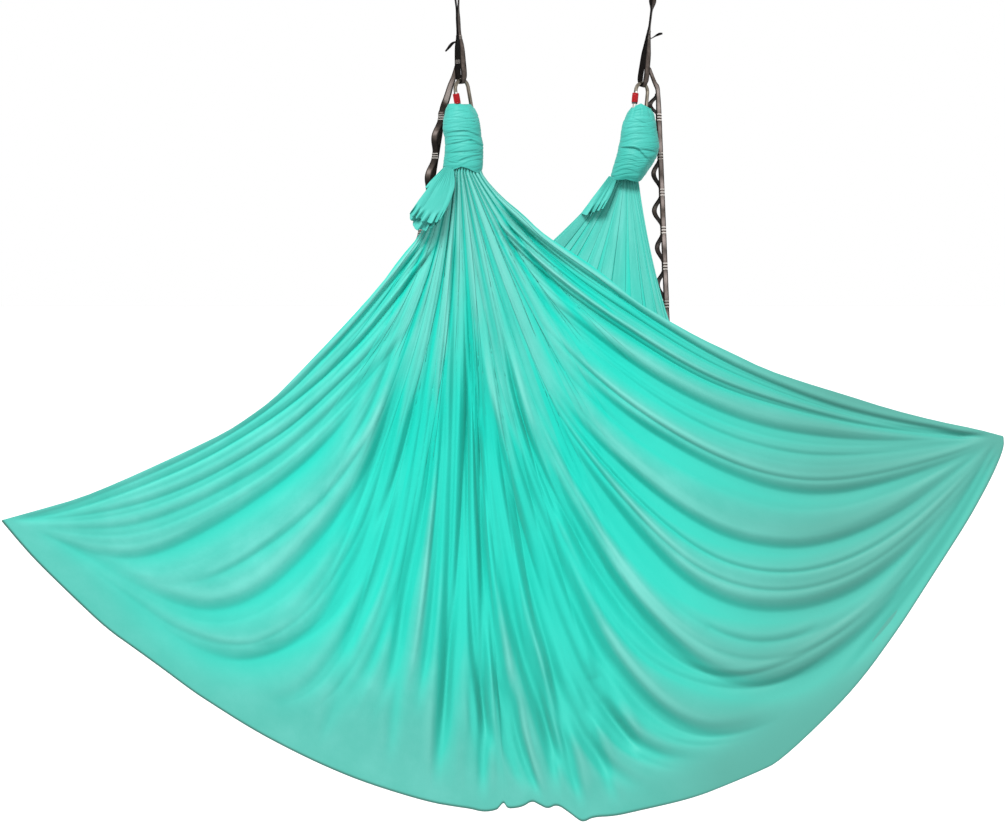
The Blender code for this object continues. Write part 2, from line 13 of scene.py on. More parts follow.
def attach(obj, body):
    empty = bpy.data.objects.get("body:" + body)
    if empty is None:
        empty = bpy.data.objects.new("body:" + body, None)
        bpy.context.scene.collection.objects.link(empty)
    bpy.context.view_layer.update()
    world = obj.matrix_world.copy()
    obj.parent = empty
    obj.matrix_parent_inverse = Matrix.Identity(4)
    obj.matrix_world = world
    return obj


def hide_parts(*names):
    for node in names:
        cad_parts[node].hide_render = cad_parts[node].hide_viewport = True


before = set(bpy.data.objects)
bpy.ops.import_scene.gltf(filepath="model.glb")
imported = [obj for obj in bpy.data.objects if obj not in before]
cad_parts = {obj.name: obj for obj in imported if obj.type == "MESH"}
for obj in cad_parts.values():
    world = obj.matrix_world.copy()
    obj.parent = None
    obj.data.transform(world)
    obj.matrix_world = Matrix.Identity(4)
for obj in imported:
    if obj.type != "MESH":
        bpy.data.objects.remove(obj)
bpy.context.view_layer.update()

# ---------------------------------------------------------------- camera
FOCAL, MID_X, MID_Y = 4085.0, 502.5, 412.0
EYE = np.array((-0.13, -9.7, -0.58))
PITCH = math.radians(3)
CP, SP = math.cos(PITCH), math.sin(PITCH)
scene = bpy.context.scene
cam_data = bpy.data.cameras.new("camera")
cam_data.sensor_width, cam_data.lens = 36.0, FOCAL * 36 / 1005
cam_data.clip_start, cam_data.clip_end = 0.1, 300
camera = bpy.data.objects.new("camera", cam_data)
camera.location, camera.rotation_euler = EYE, (math.radians(90) - PITCH, 0, 0)
scene.collection.objects.link(camera)
scene.camera = camera


def at(x, y, depth):
    """World points of picture places (px) at the depth y, as arrays."""
    a, b = (np.asarray(x, float) - MID_X) / FOCAL, (MID_Y - np.asarray(y, float)) / FOCAL
    lam = (np.asarray(depth, float) - EYE[1]) / (CP + SP * b)
    return np.stack(np.broadcast_arrays(EYE[0] + lam * a, depth + 0 * lam, EYE[2] + lam * (-SP + CP * b)), -1)


def seen(p):
    """Picture places of world points."""
    d = np.asarray(p, float) - EYE
    f, u = d[..., 1] * CP - d[..., 2] * SP, d[..., 1] * SP + d[..., 2] * CP
    return MID_X + FOCAL * d[..., 0] / f, MID_Y - FOCAL * u / f


# ---------------------------------------------------------------- the part's own dimensions
ANCHOR_X, ANCHOR_Y = 0.2375, 0.240
TURN = math.atan2(ANCHOR_Y, ANCHOR_X)
PIVOT_DROP = 0.073
LOW = {"left": Vector((-0.2243, -0.2266, -0.3285)), "right": Vector((0.2065, 0.2086, -0.3240))}
LEAN = {"left": math.radians(-14), "right": math.radians(8)}
BOW_R, BAR_R, STRAIGHT = 0.021, 0.0045, 0.053
FRONT_LEFT = ((-0.270, -0.222, -0.520), (-0.363, -0.222, -0.919), (-0.835, -0.200, -1.190), (-1.297, -0.200, -1.330))
FRONT_RIGHT = ((-0.177, -0.222, -0.527), (0.050, -0.222, -0.793), (0.570, -0.100, -1.055), (1.043, -0.100, -1.140))
BACK_LEFT = ((0.130, 0.200, -0.539), (-0.028, 0.122, -0.734), (-0.725, -0.100, -1.338), (-1.297, -0.200, -1.330))
BACK_RIGHT = ((0.200, 0.205, -0.542), (0.244, 0.122, -0.897), (0.340, -0.020, -1.440), (1.043, -0.100, -1.140))
CLOTH_W, CLOTH_L = 2.8, 2.9  # between the knots, unstretched


def facing(point, lean=0.0):
    return Matrix.Translation(point) @ Matrix.Rotation(TURN, 4, "Z") @ Matrix.Rotation(lean, 4, "Y")


# ---------------------------------------------------------------- materials
class Look:
    """A node material with a Principled shader."""

    def __init__(self, name):
        self.m = bpy.data.materials.new(name)
        self.m.use_nodes = True
        self.t = self.m.node_tree
        self.p = self.t.nodes["Principled BSDF"]

    def set(self, **values):
        for k, v in values.items():
            self.p.inputs[k.replace("_", " ")].default_value = v
        return self

    def node(self, kind, inputs=None, **props):
        n = self.t.nodes.new(kind)
        for k, v in props.items():
            setattr(n, k, v)
        for k, v in (inputs or {}).items():
            if isinstance(v, bpy.types.NodeSocket):
                self.t.links.new(v, n.inputs[k])
            else:
                n.inputs[k].default_value = v
        return n

    def coords(self, uv=True):
        n = self.node("ShaderNodeTexCoord")
        return n.outputs["UV" if uv else "Object"]

    def noise(self, vector, scale, detail=3.0, rough=0.5, stretch=None):
        if stretch:
            vector = self.node("ShaderNodeMapping", {"Vector": vector, "Scale": stretch}).outputs[0]
        return self.node("ShaderNodeTexNoise", {"Vector": vector, "Scale": scale, "Detail": detail, "Roughness": rough}).outputs["Fac"]

    def wave(self, vector, scale, direction="X", distort=0.0):
        n = self.node("ShaderNodeTexWave", {"Vector": vector, "Scale": scale, "Distortion": distort}, bands_direction=direction)
        return n.outputs["Fac"]

    def ramp(self, fac, *stops):
        n = self.node("ShaderNodeValToRGB", {"Fac": fac})
        e = n.color_ramp.elements
        while len(e) < len(stops):
            e.new(0.5)
        for el, (pos, col) in zip(e, stops):
            el.position, el.color = pos, (*col, 1) if len(col) == 3 else col
        return n.outputs["Color"]

    def math(self, op, a, b=0.0, clamp=False):
        n = self.node("ShaderNodeMath", operation=op, use_clamp=clamp)
        for i, v in enumerate((a, b)):
            if isinstance(v, bpy.types.NodeSocket):
                self.t.links.new(v, n.inputs[i])
            else:
                n.inputs[i].default_value = v
        return n.outputs[0]

    def mix(self, fac, a, b, mode="MIX"):
        n = self.node("ShaderNodeMix", data_type="RGBA", blend_type=mode)
        for i, v in ((0, fac), (6, a), (7, b)):
            if isinstance(v, bpy.types.NodeSocket):
                self.t.links.new(v, n.inputs[i])
            else:
                n.inputs[i].default_value = v if i == 0 else (*v, 1)
        return n.outputs[2]

    def attribute(self, name):
        return self.node("ShaderNodeAttribute", attribute_name=name).outputs["Fac"]

    def to(self, socket, value):
        self.t.links.new(value, self.p.inputs[socket])
        return self

    def bump(self, height, strength, distance, under=None):
        inputs = {"Height": height, "Strength": strength, "Distance": distance}
        if under is not None:
            inputs["Normal"] = under
        out = self.node("ShaderNodeBump", inputs).outputs["Normal"]
        self.t.links.new(out, self.p.inputs["Normal"])
        return out


def cloth_look(name, hem=False, dark=1.0, red=1.0):
    k = Look(name)
    k.set(Roughness=0.50, Sheen_Weight=0.09, Sheen_Roughness=0.45, Sheen_Tint=(0.45, 1.0, 0.90, 1), Specular_IOR_Level=0.11)
    uv = k.coords()
    base = (0.048 * dark * red, 0.272 * dark, 0.231 * dark)
    light = (0.070 * dark * red, 0.308 * dark, 0.270 * dark)
    deep = (0.031 * dark * red, 0.243 * dark, 0.202 * dark)
    blotch = k.noise(uv, 6.5, 7, 0.62)
    colour = k.ramp(blotch, (0.30, deep), (0.52, base), (0.75, light))
    slub = k.noise(uv, 120.0, 3, 0.6, (1.0, 0.12, 1.0))
    colour = k.mix(k.math("MULTIPLY", slub, 0.10), colour, tuple(c * 0.8 for c in base))
    if hem:
        # painted shade and painted highlight: fold valleys and tucked crevices are painted a deeper, redless teal,
        # standing in for light that bounces between the sides of a fold, and the lips of folds and the ridges of the
        # neck's strands are painted lighter
        colour = k.mix(k.attribute("painted_fold_shade"), colour, (0.004, 0.298, 0.236))
        colour = k.mix(k.attribute("painted_crest_light"), colour, (0.098, 0.325, 0.285))
        # painted shade: a thin dark line along the bottom fold, where the cloth turns under
        edge = k.attribute("fold_line")
        colour = k.mix(edge, colour, (0.010, 0.026, 0.017))
        # painted shade: darker and greyer towards the right, the bottom and the far left of the sheet
        outer_shade = k.attribute("painted_outer_shade")
        colour = k.mix(outer_shade, colour, (0.042, 0.166, 0.138))
    k.to("Base Color", colour)
    rough = k.node("ShaderNodeMapRange", {"Value": slub, "To Min": 0.44, "To Max": 0.60}).outputs[0]
    k.to("Roughness", rough)
    fine = k.bump(k.wave(uv, 260.0, "X"), 0.10, 0.0002)
    crumple = k.noise(uv, 55.0, 4, 0.6, (1.0, 0.45, 1.0))
    k.bump(crumple, 0.16, 0.0014, fine)
    return k.m


def webbing_look(name, face=(0.078, 0.062, 0.053)):
    """Black webbing: dark edges and hollows, and a face painted with a brown grey highlight where "face" says so, pale
    pinkish grey where it passes 1.
    """
    k = Look(name)
    k.set(Specular_IOR_Level=0.03)
    uv = k.coords()
    ribs = k.wave(uv, 210.0, "Y", 0.6)
    across = k.wave(uv, 330.0, "X")
    worn = k.noise(uv, 60.0, 4, 0.6)
    # painted highlight: where the face mask says so, the black is painted brown grey, and above 1 pale pinkish grey,
    # for light caught on the glossy face
    painted_face_light = k.attribute("face")
    dark = (0.0022, 0.0016, 0.0015)
    painted_face_sheen = k.ramp(worn, (0.30, tuple(c * 0.35 for c in face)), (0.52, tuple(c * 0.9 for c in face)), (0.75, tuple(c * 1.6 for c in face)))
    colour = k.mix(painted_face_light, dark, painted_face_sheen)
    colour = k.mix(k.math("SUBTRACT", painted_face_light, 1.0, clamp=True), colour, (0.34, 0.285, 0.265))
    k.to("Base Color", k.mix(k.math("MULTIPLY", ribs, 0.35), colour, dark))
    k.to("Roughness", k.node("ShaderNodeMapRange", {"Value": worn, "To Min": 0.34, "To Max": 0.52}).outputs[0])
    first = k.bump(ribs, 0.5, 0.0004)
    k.bump(across, 0.25, 0.0003, first)
    return k.m


def thread_look(name, colour):
    k = Look(name)
    k.set(Roughness=0.5, Sheen_Weight=0.3)
    c = k.coords(False)
    twist = k.noise(c, 900.0, 2, 0.5)
    k.to("Base Color", k.ramp(twist, (0.3, tuple(v * 0.7 for v in colour)), (0.7, colour)))
    k.bump(twist, 0.4, 0.0002)
    return k.m


def metal_look(name, colour, rough=0.28, scratch=0.5):
    k = Look(name)
    k.set(Metallic=1.0)
    c = k.coords(False)
    brushed = k.noise(c, 260.0, 4, 0.6, (1.0, 1.0, 0.25))
    patches = k.noise(c, 40.0, 4, 0.55)
    k.to("Base Color", k.ramp(patches, (0.3, tuple(v * 0.62 for v in colour)), (0.55, colour), (0.8, tuple(min(1, v * 1.25) for v in colour))))
    k.to("Roughness", k.node("ShaderNodeMapRange", {"Value": brushed, "From Min": 0.3, "From Max": 0.7, "To Min": rough * 0.75, "To Max": rough * 1.5}).outputs[0])
    k.bump(brushed, 0.12 * scratch, 0.0003)
    return k.m


def gloss_look(name, colour, rough=0.24, coat=0.5, shine=0.5):
    k = Look(name)
    k.set(Roughness=rough, Coat_Weight=coat, Coat_Roughness=0.12, Specular_IOR_Level=shine)
    c = k.coords(False)
    wear_and_sheen = k.noise(c, 180.0, 4, 0.6)
    k.to("Base Color", k.ramp(wear_and_sheen, (0.3, tuple(v * 0.7 for v in colour)), (0.6, colour), (0.85, tuple(min(1.0, v * 1.5) for v in colour))))
    k.to("Roughness", k.node("ShaderNodeMapRange", {"Value": wear_and_sheen, "To Min": rough * 0.8, "To Max": rough * 1.6}).outputs[0])
    k.bump(wear_and_sheen, 0.12, 0.0003)
    return k.m


CLOTH = cloth_look("turquoise_tricot", hem=True)
# painted shade: the wrapped knots and the loose ends use darker, less red copies of the tricot
CLOTH_KNOT = cloth_look("turquoise_tricot_knot", dark=0.85, red=0.7)
CLOTH_END = cloth_look("turquoise_tricot_end", dark=0.93, red=0.8)
WEBBING = webbing_look("black_webbing")
THREAD = thread_look("grey_bar_tack_thread", (0.46, 0.42, 0.39))
DARK_THREAD = thread_look("brown_bar_tack_thread", (0.13, 0.11, 0.095))
STEEL = metal_look("brushed_steel", (0.17, 0.15, 0.12))
NOSE_STEEL = metal_look("bright_steel", (0.58, 0.56, 0.53), 0.2)
PLATE_STEEL = metal_look("plated_ceiling_steel", (0.46, 0.46, 0.46), 0.36)
SCREW_STEEL = metal_look("zinc_screw", (0.34, 0.34, 0.35), 0.33)
SPRING_STEEL = metal_look("spring_wire", (0.50, 0.49, 0.47), 0.22)
RED = gloss_look("red_anodised_sleeve", (0.21, 0.0008, 0.0030), 0.26, 0.04, 0.14)
RING = gloss_look("black_ring", (0.012, 0.012, 0.013), 0.35, 0.2)


# ---------------------------------------------------------------- mesh helpers
def grid_mesh(name, points, look, uv=None, wrap=False, caps=False, values=None):
    """A mesh over a grid of points, rows by columns. wrap joins the last column to the first."""
    r, c = points.shape[:2]
    ids = np.arange(r * c).reshape(r, c)
    right = np.roll(ids, -1, 1) if wrap else ids[:, 1:]
    left = ids if wrap else ids[:, :-1]
    quads = np.stack([left[:-1], right[:-1], right[1:], left[1:]], -1).reshape(-1, 4)
    data = bpy.data.meshes.new(name)
    faces = quads.tolist()
    if caps:
        faces += [ids[0][::-1].tolist(), ids[-1].tolist()]
    data.from_pydata(points.reshape(-1, 3).tolist(), [], faces)
    if uv is not None:
        layer = data.uv_layers.new(name="UVMap")
        loops = np.empty(len(data.loops), np.int64)
        data.loops.foreach_get("vertex_index", loops)
        layer.data.foreach_set("uv", uv.reshape(-1, 2)[loops].astype(np.float32).ravel())
    for key, val in (values or {}).items():
        data.attributes.new(key, "FLOAT", "POINT").data.foreach_set("value", np.asarray(val, np.float32).ravel())
    data.materials.append(look)
    data.shade_smooth()
    obj = bpy.data.objects.new(name, data)
    scene.collection.objects.link(obj)
    return obj


def joined(name, objs):
    """Several meshes of one look as one object."""
    bm = bmesh.new()
    look = objs[0].data.materials[0]
    for o in objs:
        bm.from_mesh(o.data)
    data = bpy.data.meshes.new(name)
    bm.to_mesh(data)
    bm.free()
    data.materials.append(look)
    for o in objs:
        old = o.data
        bpy.data.objects.remove(o)
        bpy.data.meshes.remove(old)
    obj = bpy.data.objects.new(name, data)
    scene.collection.objects.link(obj)
    return obj


def ribbon(name, line, wide, width, thick, look, closed=False, round_off=0.35, faces=(0.0, 0.0), along=1.0):
    """A flat band along a line: wide is its width direction at each point, width and thick full sizes. faces says how
    strongly a highlight is painted on its two faces, on the side of line x wide and the other, and along how that
    changes along the line."""
    line, wide = np.asarray(line, float), np.asarray(wide, float)
    n = len(line)
    width = np.broadcast_to(np.asarray(width, float), (n,))
    thick = np.broadcast_to(np.asarray(thick, float), (n,))
    if closed:
        tangent = np.roll(line, -1, 0) - np.roll(line, 1, 0)
    else:
        tangent = np.gradient(line, axis=0)
    tangent /= np.linalg.norm(tangent, axis=1)[:, None]
    wide = wide - (wide * tangent).sum(1)[:, None] * tangent
    wide /= np.linalg.norm(wide, axis=1)[:, None]
    normal = np.cross(tangent, wide)
    e = round_off
    section = [(-1, -1 + e), (-1, 1 - e), (-1 + 0.06, 1), (-0.5, 1), (0, 1), (0.5, 1), (1 - 0.06, 1), (1, 1 - e), (1, -1 + e), (1 - 0.06, -1), (0.5, -1), (0, -1), (-0.5, -1), (-1 + 0.06, -1)]
    rows = np.stack([line + wide * (width / 2 * s)[:, None] + normal * (thick / 2 * t)[:, None] for s, t in section], 1)
    run = np.concatenate([[0], np.cumsum(np.linalg.norm(np.diff(line, axis=0), axis=1))])
    uv = np.stack(np.broadcast_arrays(np.array([s for s, _ in section])[None, :] * 0.009 + 0.009, run[:, None]), -1)
    # painted highlight: the middle of each face carries its face strength, the edges none
    painted_face_mask = np.array([0, 0, 0.1, 1, 1, 1, 0.1, 0, 0, 0.1, 1, 1, 1, 0.1]) * np.array([faces[0]] * 7 + [faces[1]] * 7)
    painted_face_mask = painted_face_mask[None, :] * np.broadcast_to(np.asarray(along, float), (n,))[:, None]
    if closed:
        rows = np.concatenate([rows, rows[:1]])
        uv = np.concatenate([uv, uv[-1:] + (0, 0.005)])
        painted_face_mask = np.concatenate([painted_face_mask, painted_face_mask[:1]])
    obj = grid_mesh(name, rows, look, uv, wrap=True, caps=not closed, values={"face": painted_face_mask})
    bm = bmesh.new()
    bm.from_mesh(obj.data)
    bmesh.ops.remove_doubles(bm, verts=bm.verts, dist=1e-7)
    bmesh.ops.recalc_face_normals(bm, faces=bm.faces)
    bm.to_mesh(obj.data)
    bm.free()
    obj.data.shade_smooth()
    obj.data.set_sharp_from_angle(angle=math.radians(50))
    return obj


def tube(name, line, radius, look, sides=16, closed=False):
    """A round bar along a line, with domed ends."""
    line = np.asarray(line, float)
    n = len(line)
    radius = np.broadcast_to(np.asarray(radius, float), (n,)).copy()
    tangent = (np.roll(line, -1, 0) - np.roll(line, 1, 0)) if closed else np.gradient(line, axis=0)
    tangent /= np.linalg.norm(tangent, axis=1)[:, None] + 1e-12
    up = np.array((0.0, 0.0, 1.0)) if abs(tangent[0][2]) < 0.9 else np.array((1.0, 0.0, 0.0))
    side = []
    last = np.cross(up, tangent[0])
    for t in tangent:
        last = last - (last @ t) * t
        last = last / np.linalg.norm(last)
        side.append(last)
    side = np.array(side)
    other = np.cross(tangent, side)
    ang = np.linspace(0, 2 * math.pi, sides, endpoint=False)
    rows = line[:, None] + radius[:, None, None] * (side[:, None] * np.cos(ang)[None, :, None] + other[:, None] * np.sin(ang)[None, :, None])
    if closed:
        rows = np.concatenate([rows, rows[:1]])
    obj = grid_mesh(name, rows, look, wrap=True, caps=not closed)
    bm = bmesh.new()
    bm.from_mesh(obj.data)
    bmesh.ops.remove_doubles(bm, verts=bm.verts, dist=1e-8)
    bmesh.ops.recalc_face_normals(bm, faces=bm.faces)
    bm.to_mesh(obj.data)
    bm.free()
    obj.data.shade_smooth()
    obj.data.set_sharp_from_angle(angle=math.radians(50))
    return obj


def spaced(points, count):
    """A polyline resampled to count points at even spacing."""
    p = np.asarray(points, float)
    run = np.concatenate([[0], np.cumsum(np.linalg.norm(np.diff(p, axis=0), axis=1))])
    s = np.linspace(0, run[-1], count)
    return np.stack([np.interp(s, run, p[:, k]) for k in range(p.shape[1])], 1)


def rounded(points, count, passes=2):
    """A smooth line through a few points: corner cutting, then even spacing."""
    p = np.asarray(points, float)
    for _ in range(passes):
        q = [p[0]]
        for a, b in zip(p[:-1], p[1:]):
            q += [0.75 * a + 0.25 * b, 0.25 * a + 0.75 * b]
        q.append(p[-1])
        p = np.array(q)
    return spaced(p, count)


# ---------------------------------------------------------------- folds
def fold_depth(x, y, folds, gain=1.0):
    """How far each picture place is pushed in (metres) by a list of folds. A fold is its line in px, its depth in mm, and
    its widths in px at the start, in the middle and at the end; lower gives its lower side's width over its upper side's."""
    out = np.zeros(x.shape, np.float32)
    for f in folds:
        line = rounded(f["line"], 110)
        w0, w1, w2 = f["width"]
        d0, d1, d2 = f.get("along", (0.35, 1.0, 0.25))
        lower = f.get("lower", 1.0)
        reach = 4.2 * max(f["width"]) * max(1, lower) + 4
        low, high = line.min(0) - reach, line.max(0) + reach
        hit = np.nonzero((x > low[0]) & (x < high[0]) & (y > low[1]) & (y < high[1]))
        if not len(hit[0]):
            continue
        xs, ys = x[hit].astype(np.float32), y[hit].astype(np.float32)
        best, which = np.full(xs.shape, 1e9, np.float32), np.zeros(xs.shape, np.int32)
        for k, (px, py) in enumerate(line):
            d = (xs - px) ** 2 + (ys - py) ** 2
            near = d < best
            best[near], which[near] = d[near], k
        tangent = np.gradient(line, axis=0)
        tx, ty, dx, dy = tangent[which, 0], tangent[which, 1], xs - line[which, 0], ys - line[which, 1]
        size = tx * tx + ty * ty
        across = tx * dy - ty * dx
        gap = np.abs(across) / np.sqrt(size)
        steps = (which + np.clip((tx * dx + ty * dy) / size, -1, 1)) / (len(line) - 1)
        inside = np.clip(steps, 0, 1)
        width = np.where(inside < 0.5, w0 + (w1 - w0) * np.sin(inside * math.pi) ** 0.9, w2 + (w1 - w2) * np.sin(inside * math.pi) ** 0.9)
        ends = np.clip(steps / f.get("start", 0.07), 0, 1) * np.clip((1 - steps) / (0.18 if 60 < f["line"][-1][0] < 960 else 0.07), 0, 1)
        depth = np.interp(inside, (0, 0.3, 0.7, 1), (d0, d1, d1, d2)) * ends * ends * (3 - 2 * ends)
        side = np.sign(across) * (1 if f["line"][-1][0] > f["line"][0][0] else -1)  # + is the lower side
        steep = 0.72 if "lower" in f else 1.0
        w = width * np.where(side > 0, lower * 1.15, steep)
        value = depth * np.exp(-((gap / w) ** f.get("power", 1.7)))
        # the lip of cloth that stands forward just above the valley
        value -= 0.24 * depth * np.where(side > 0, 0, 1) * np.exp(-(((gap - 2.1 * w) / (0.95 * w)) ** 2)) * (gap > 0.15 * w)
        out[hit] += (value * f["deep"] * gain / 1000).astype(np.float32)
    return out


def R(*points):
    """Places on the right half, in thirds of a px from (430, 160)."""
    return [(430 + x / 3, 160 + y / 3) for x, y in points]


def L(*points):
    """Places on the left half, in thirds of a px from (0, 160)."""
    return [(x * 0.335, 160 + y * 0.335) for x, y in points]


def fold(line, deep, width, **more):
    return dict(line=line, deep=deep, width=width, **more)


FOLDS = [
    # right: the bundled upper edge
    fold(R((170, 100), (300, 215), (420, 310), (560, 405), (700, 500), (850, 590), (1000, 660), (1200, 735), (1400, 785), (1600, 818)), 7, (2, 2.6, 2), power=1.3, along=(0.8, 1, 0.8)),
    fold(R((190, 140), (330, 265), (480, 385), (640, 490), (800, 590), (950, 660), (1150, 735), (1350, 790), (1550, 820), (1690, 828)), 8, (2, 2.8, 2), power=1.3, along=(0.8, 1, 0.8)),
    fold(R((185, 190), (300, 310), (450, 430), (600, 530), (760, 630), (900, 695), (1100, 755), (1300, 800), (1500, 825), (1690, 832)), 9, (2.4, 3.4, 2), power=1.4, along=(0.9, 1, 0.8)),
    # right: swags, from the upper edge downwards
    fold(R((200, 250), (330, 400), (480, 520), (640, 640), (800, 730), (950, 790), (1100, 825), (1300, 845), (1500, 842), (1690, 834)), 15, (3, 7, 2.4), lower=1.5),
    fold(R((240, 330), (380, 480), (520, 600), (680, 720), (820, 800), (950, 850), (1100, 885), (1250, 890), (1450, 872), (1690, 836)), 9, (3, 5, 2.4), lower=1.4),
    fold(R((330, 520), (450, 650), (600, 780), (760, 880), (900, 950), (1050, 1000), (1200, 1010), (1350, 980), (1500, 930), (1620, 880), (1700, 838)), 20, (4, 10, 3), lower=1.5),
    fold(R((300, 560), (400, 740), (520, 870), (640, 980), (760, 1070), (880, 1135), (1000, 1165), (1120, 1170), (1250, 1140), (1400, 1070), (1550, 960), (1700, 842)), 17, (3.4, 9, 3), lower=1.6),
    fold(R((250, 520), (330, 700), (430, 870), (520, 1000), (640, 1150), (760, 1270), (880, 1335), (1000, 1362), (1150, 1350), (1300, 1290), (1450, 1170), (1600, 1000), (1702, 846)), 20, (3.4, 11, 4), lower=1.5),
    fold(R((820, 1390), (880, 1425), (960, 1450), (1040, 1448), (1120, 1425), (1200, 1380)), 5, (4, 5, 4), lower=1.3),
    fold(R((230, 600), (300, 800), (380, 980), (470, 1140), (560, 1290), (680, 1430), (800, 1530), (900, 1575), (1000, 1585), (1120, 1555), (1250, 1470), (1380, 1350), (1500, 1200), (1620, 1020), (1704, 850)), 22, (3.6, 12, 4), lower=1.5),
    fold(R((200, 640), (260, 860), (330, 1060), (410, 1260), (500, 1450), (580, 1560), (680, 1660), (780, 1715), (880, 1728), (1000, 1700), (1120, 1640)), 16, (3.4, 10, 8), lower=1.5),
    fold(R((180, 700), (240, 950), (310, 1180), (390, 1400), (470, 1580), (560, 1700), (660, 1780), (760, 1800), (880, 1795)), 14, (3.2, 9, 8), lower=1.3),
    # the turned band by the right tip
    fold(R((1704, 842), (1640, 950), (1560, 1080), (1470, 1200), (1380, 1330), (1290, 1440)), 7, (2, 4, 7), power=1.4, along=(0.9, 1, 0.3)),
    # centre, right of the middle
    fold(R((150, 560), (190, 800), (250, 1080), (320, 1360), (400, 1600), (470, 1750), (560, 1850), (660, 1900)), 13, (3, 6.5, 6), along=(0.5, 1, 0.8)),
    fold(R((135, 420), (165, 800), (205, 1100), (262, 1400), (330, 1650), (385, 1800), (445, 1925)), 13, (2.6, 5.5, 5), along=(0.5, 1, 0.8)),
    fold(R((120, 300), (130, 600), (142, 900), (165, 1200), (205, 1500), (255, 1750), (310, 1900)), 12, (2.4, 4.8, 4), along=(0.5, 1, 0.8)),
    fold(R((104, 300), (110, 700), (112, 1000), (118, 1300), (145, 1600), (205, 1800), (228, 1915)), 13, (2.6, 4.0, 3.4), power=1.4, along=(0.6, 1, 0.35)),
    fold(R((78, 200), (72, 600), (62, 1000), (50, 1400), (40, 1900)), 10, (2.2, 4.4, 5), along=(0.5, 1, 0.4)),
    fold(R((210, 480), (240, 640), (290, 830), (350, 990), (420, 1140)), 7, (2, 3.5, 3)),
    fold(R((160, 950), (190, 1150), (230, 1350), (290, 1560), (350, 1720)), 7, (2.5, 4, 4)),
    # left: the bundled upper edge
    fold(L((1300, 210), (1180, 350), (1060, 500), (960, 600), (860, 700), (740, 790), (600, 870), (450, 940), (300, 1000), (150, 1050), (20, 1072)), 7, (2, 2.6, 2), power=1.3, along=(0.8, 1, 0.8)),
    fold(L((1320, 230), (1210, 380), (1100, 520), (980, 640), (860, 740), (740, 820), (600, 900), (450, 965), (300, 1020), (150, 1062), (20, 1075)), 10, (2, 3, 2), power=1.3, along=(0.8, 1, 0.8)),
    fold(L((1230, 420), (1120, 560), (1000, 680), (880, 790), (760, 870), (620, 950), (480, 1010), (330, 1050), (180, 1070), (20, 1078)), 8, (2.2, 3.4, 2), power=1.4, along=(0.8, 1, 0.8)),
    # left: swags
    fold(L((1280, 440), (1170, 560), (1060, 680), (940, 800), (820, 900), (700, 970), (560, 1040), (420, 1090), (300, 1105), (180, 1100), (60, 1082)), 11, (3, 6, 2.4), lower=1.4),
    fold(L((1180, 560), (1090, 700), (1000, 820), (900, 920), (780, 1010), (640, 1100), (500, 1170), (400, 1195), (300, 1185), (200, 1150), (70, 1092)), 19, (3, 9, 3), lower=1.5),
    fold(L((1170, 700), (1090, 850), (1000, 980), (900, 1080), (780, 1170), (660, 1240), (540, 1275)), 8, (3, 5, 4), lower=1.3),
    fold(L((1130, 860), (1060, 1000), (980, 1110), (900, 1200), (800, 1290), (700, 1340), (600, 1350), (500, 1320), (400, 1270), (280, 1200), (140, 1120)), 18, (3.4, 11, 4), lower=1.5),
    fold(L((1060, 1080), (990, 1220), (920, 1320), (850, 1385), (780, 1420)), 9, (4, 7, 5), lower=1.3),
    fold(L((1100, 1120), (1040, 1240), (960, 1380), (860, 1460), (760, 1500), (660, 1490), (560, 1450), (460, 1380), (340, 1280), (200, 1170)), 17, (4, 12, 6), lower=1.5),
    fold(L((1180, 1050), (1130, 1220), (1070, 1360), (1000, 1480), (930, 1570), (840, 1620), (740, 1620)), 11, (3, 8, 7), lower=1.3),
    # centre, left of the middle
    fold(L((1240, 1000), (1200, 1240), (1140, 1430), (1070, 1570), (980, 1690)), 10, (2.6, 6, 6)),
    fold(L((1310, 560), (1290, 900), (1250, 1120), (1210, 1320), (1170, 1520), (1110, 1700)), 12, (2.4, 5, 5)),
    fold(L((1335, 500), (1325, 900), (1305, 1200), (1280, 1450), (1240, 1680)), 11, (2.2, 4.4, 4), along=(0.5, 1, 0.8)),
    fold(L((1398, 380), (1392, 700), (1380, 1000), (1360, 1300), (1330, 1600), (1303, 1900)), 13, (2.6, 4.2, 4.6), power=1.4, along=(0.6, 1, 0.35)),
    fold(L((1440, 420), (1432, 900), (1438, 1300), (1447, 1700), (1440, 1925)), 10, (2.2, 4, 5), along=(0.5, 1, 0.4)),
    fold(L((1205, 480), (1150, 640), (1090, 780), (1010, 900)), 7, (2.4, 4, 3)),
    fold(L((1262, 620), (1215, 830), (1160, 1000), (1110, 1130)), 9, (2.4, 4.5, 3.5)),
]


HEM_FOLDS = [
    [(443, 560), (440, 640), (438, 720), (436, 792)], [(478, 620), (481, 690), (483, 750), (483, 806)],
    [(493, 637), (499, 700), (508, 756), (530, 796)], [(508, 655), (514, 705), (520, 745), (540, 801)],
    [(520, 593), (532, 650), (543, 705), (558, 801)], [(540, 620), (552, 680), (566, 745), (584, 812)],
    [(587, 640), (600, 685), (617, 725), (642, 757)], [(575, 670), (588, 715), (600, 760), (618, 808)],
    [(405, 560), (402, 640), (396, 700), (388, 770)], [(360, 590), (352, 650), (338, 700), (318, 748)],
]
FOLDS += [fold(line, deep, (2.0, width, 2.6), along=(0.05, 1.0, 0.6), start=0.4) for line, deep, width in zip(HEM_FOLDS, (4, 5, 6, 6, 7, 9, 12, 6, 4, 4), (5, 5, 4, 3.5, 5, 5.5, 8, 5, 6, 8))]


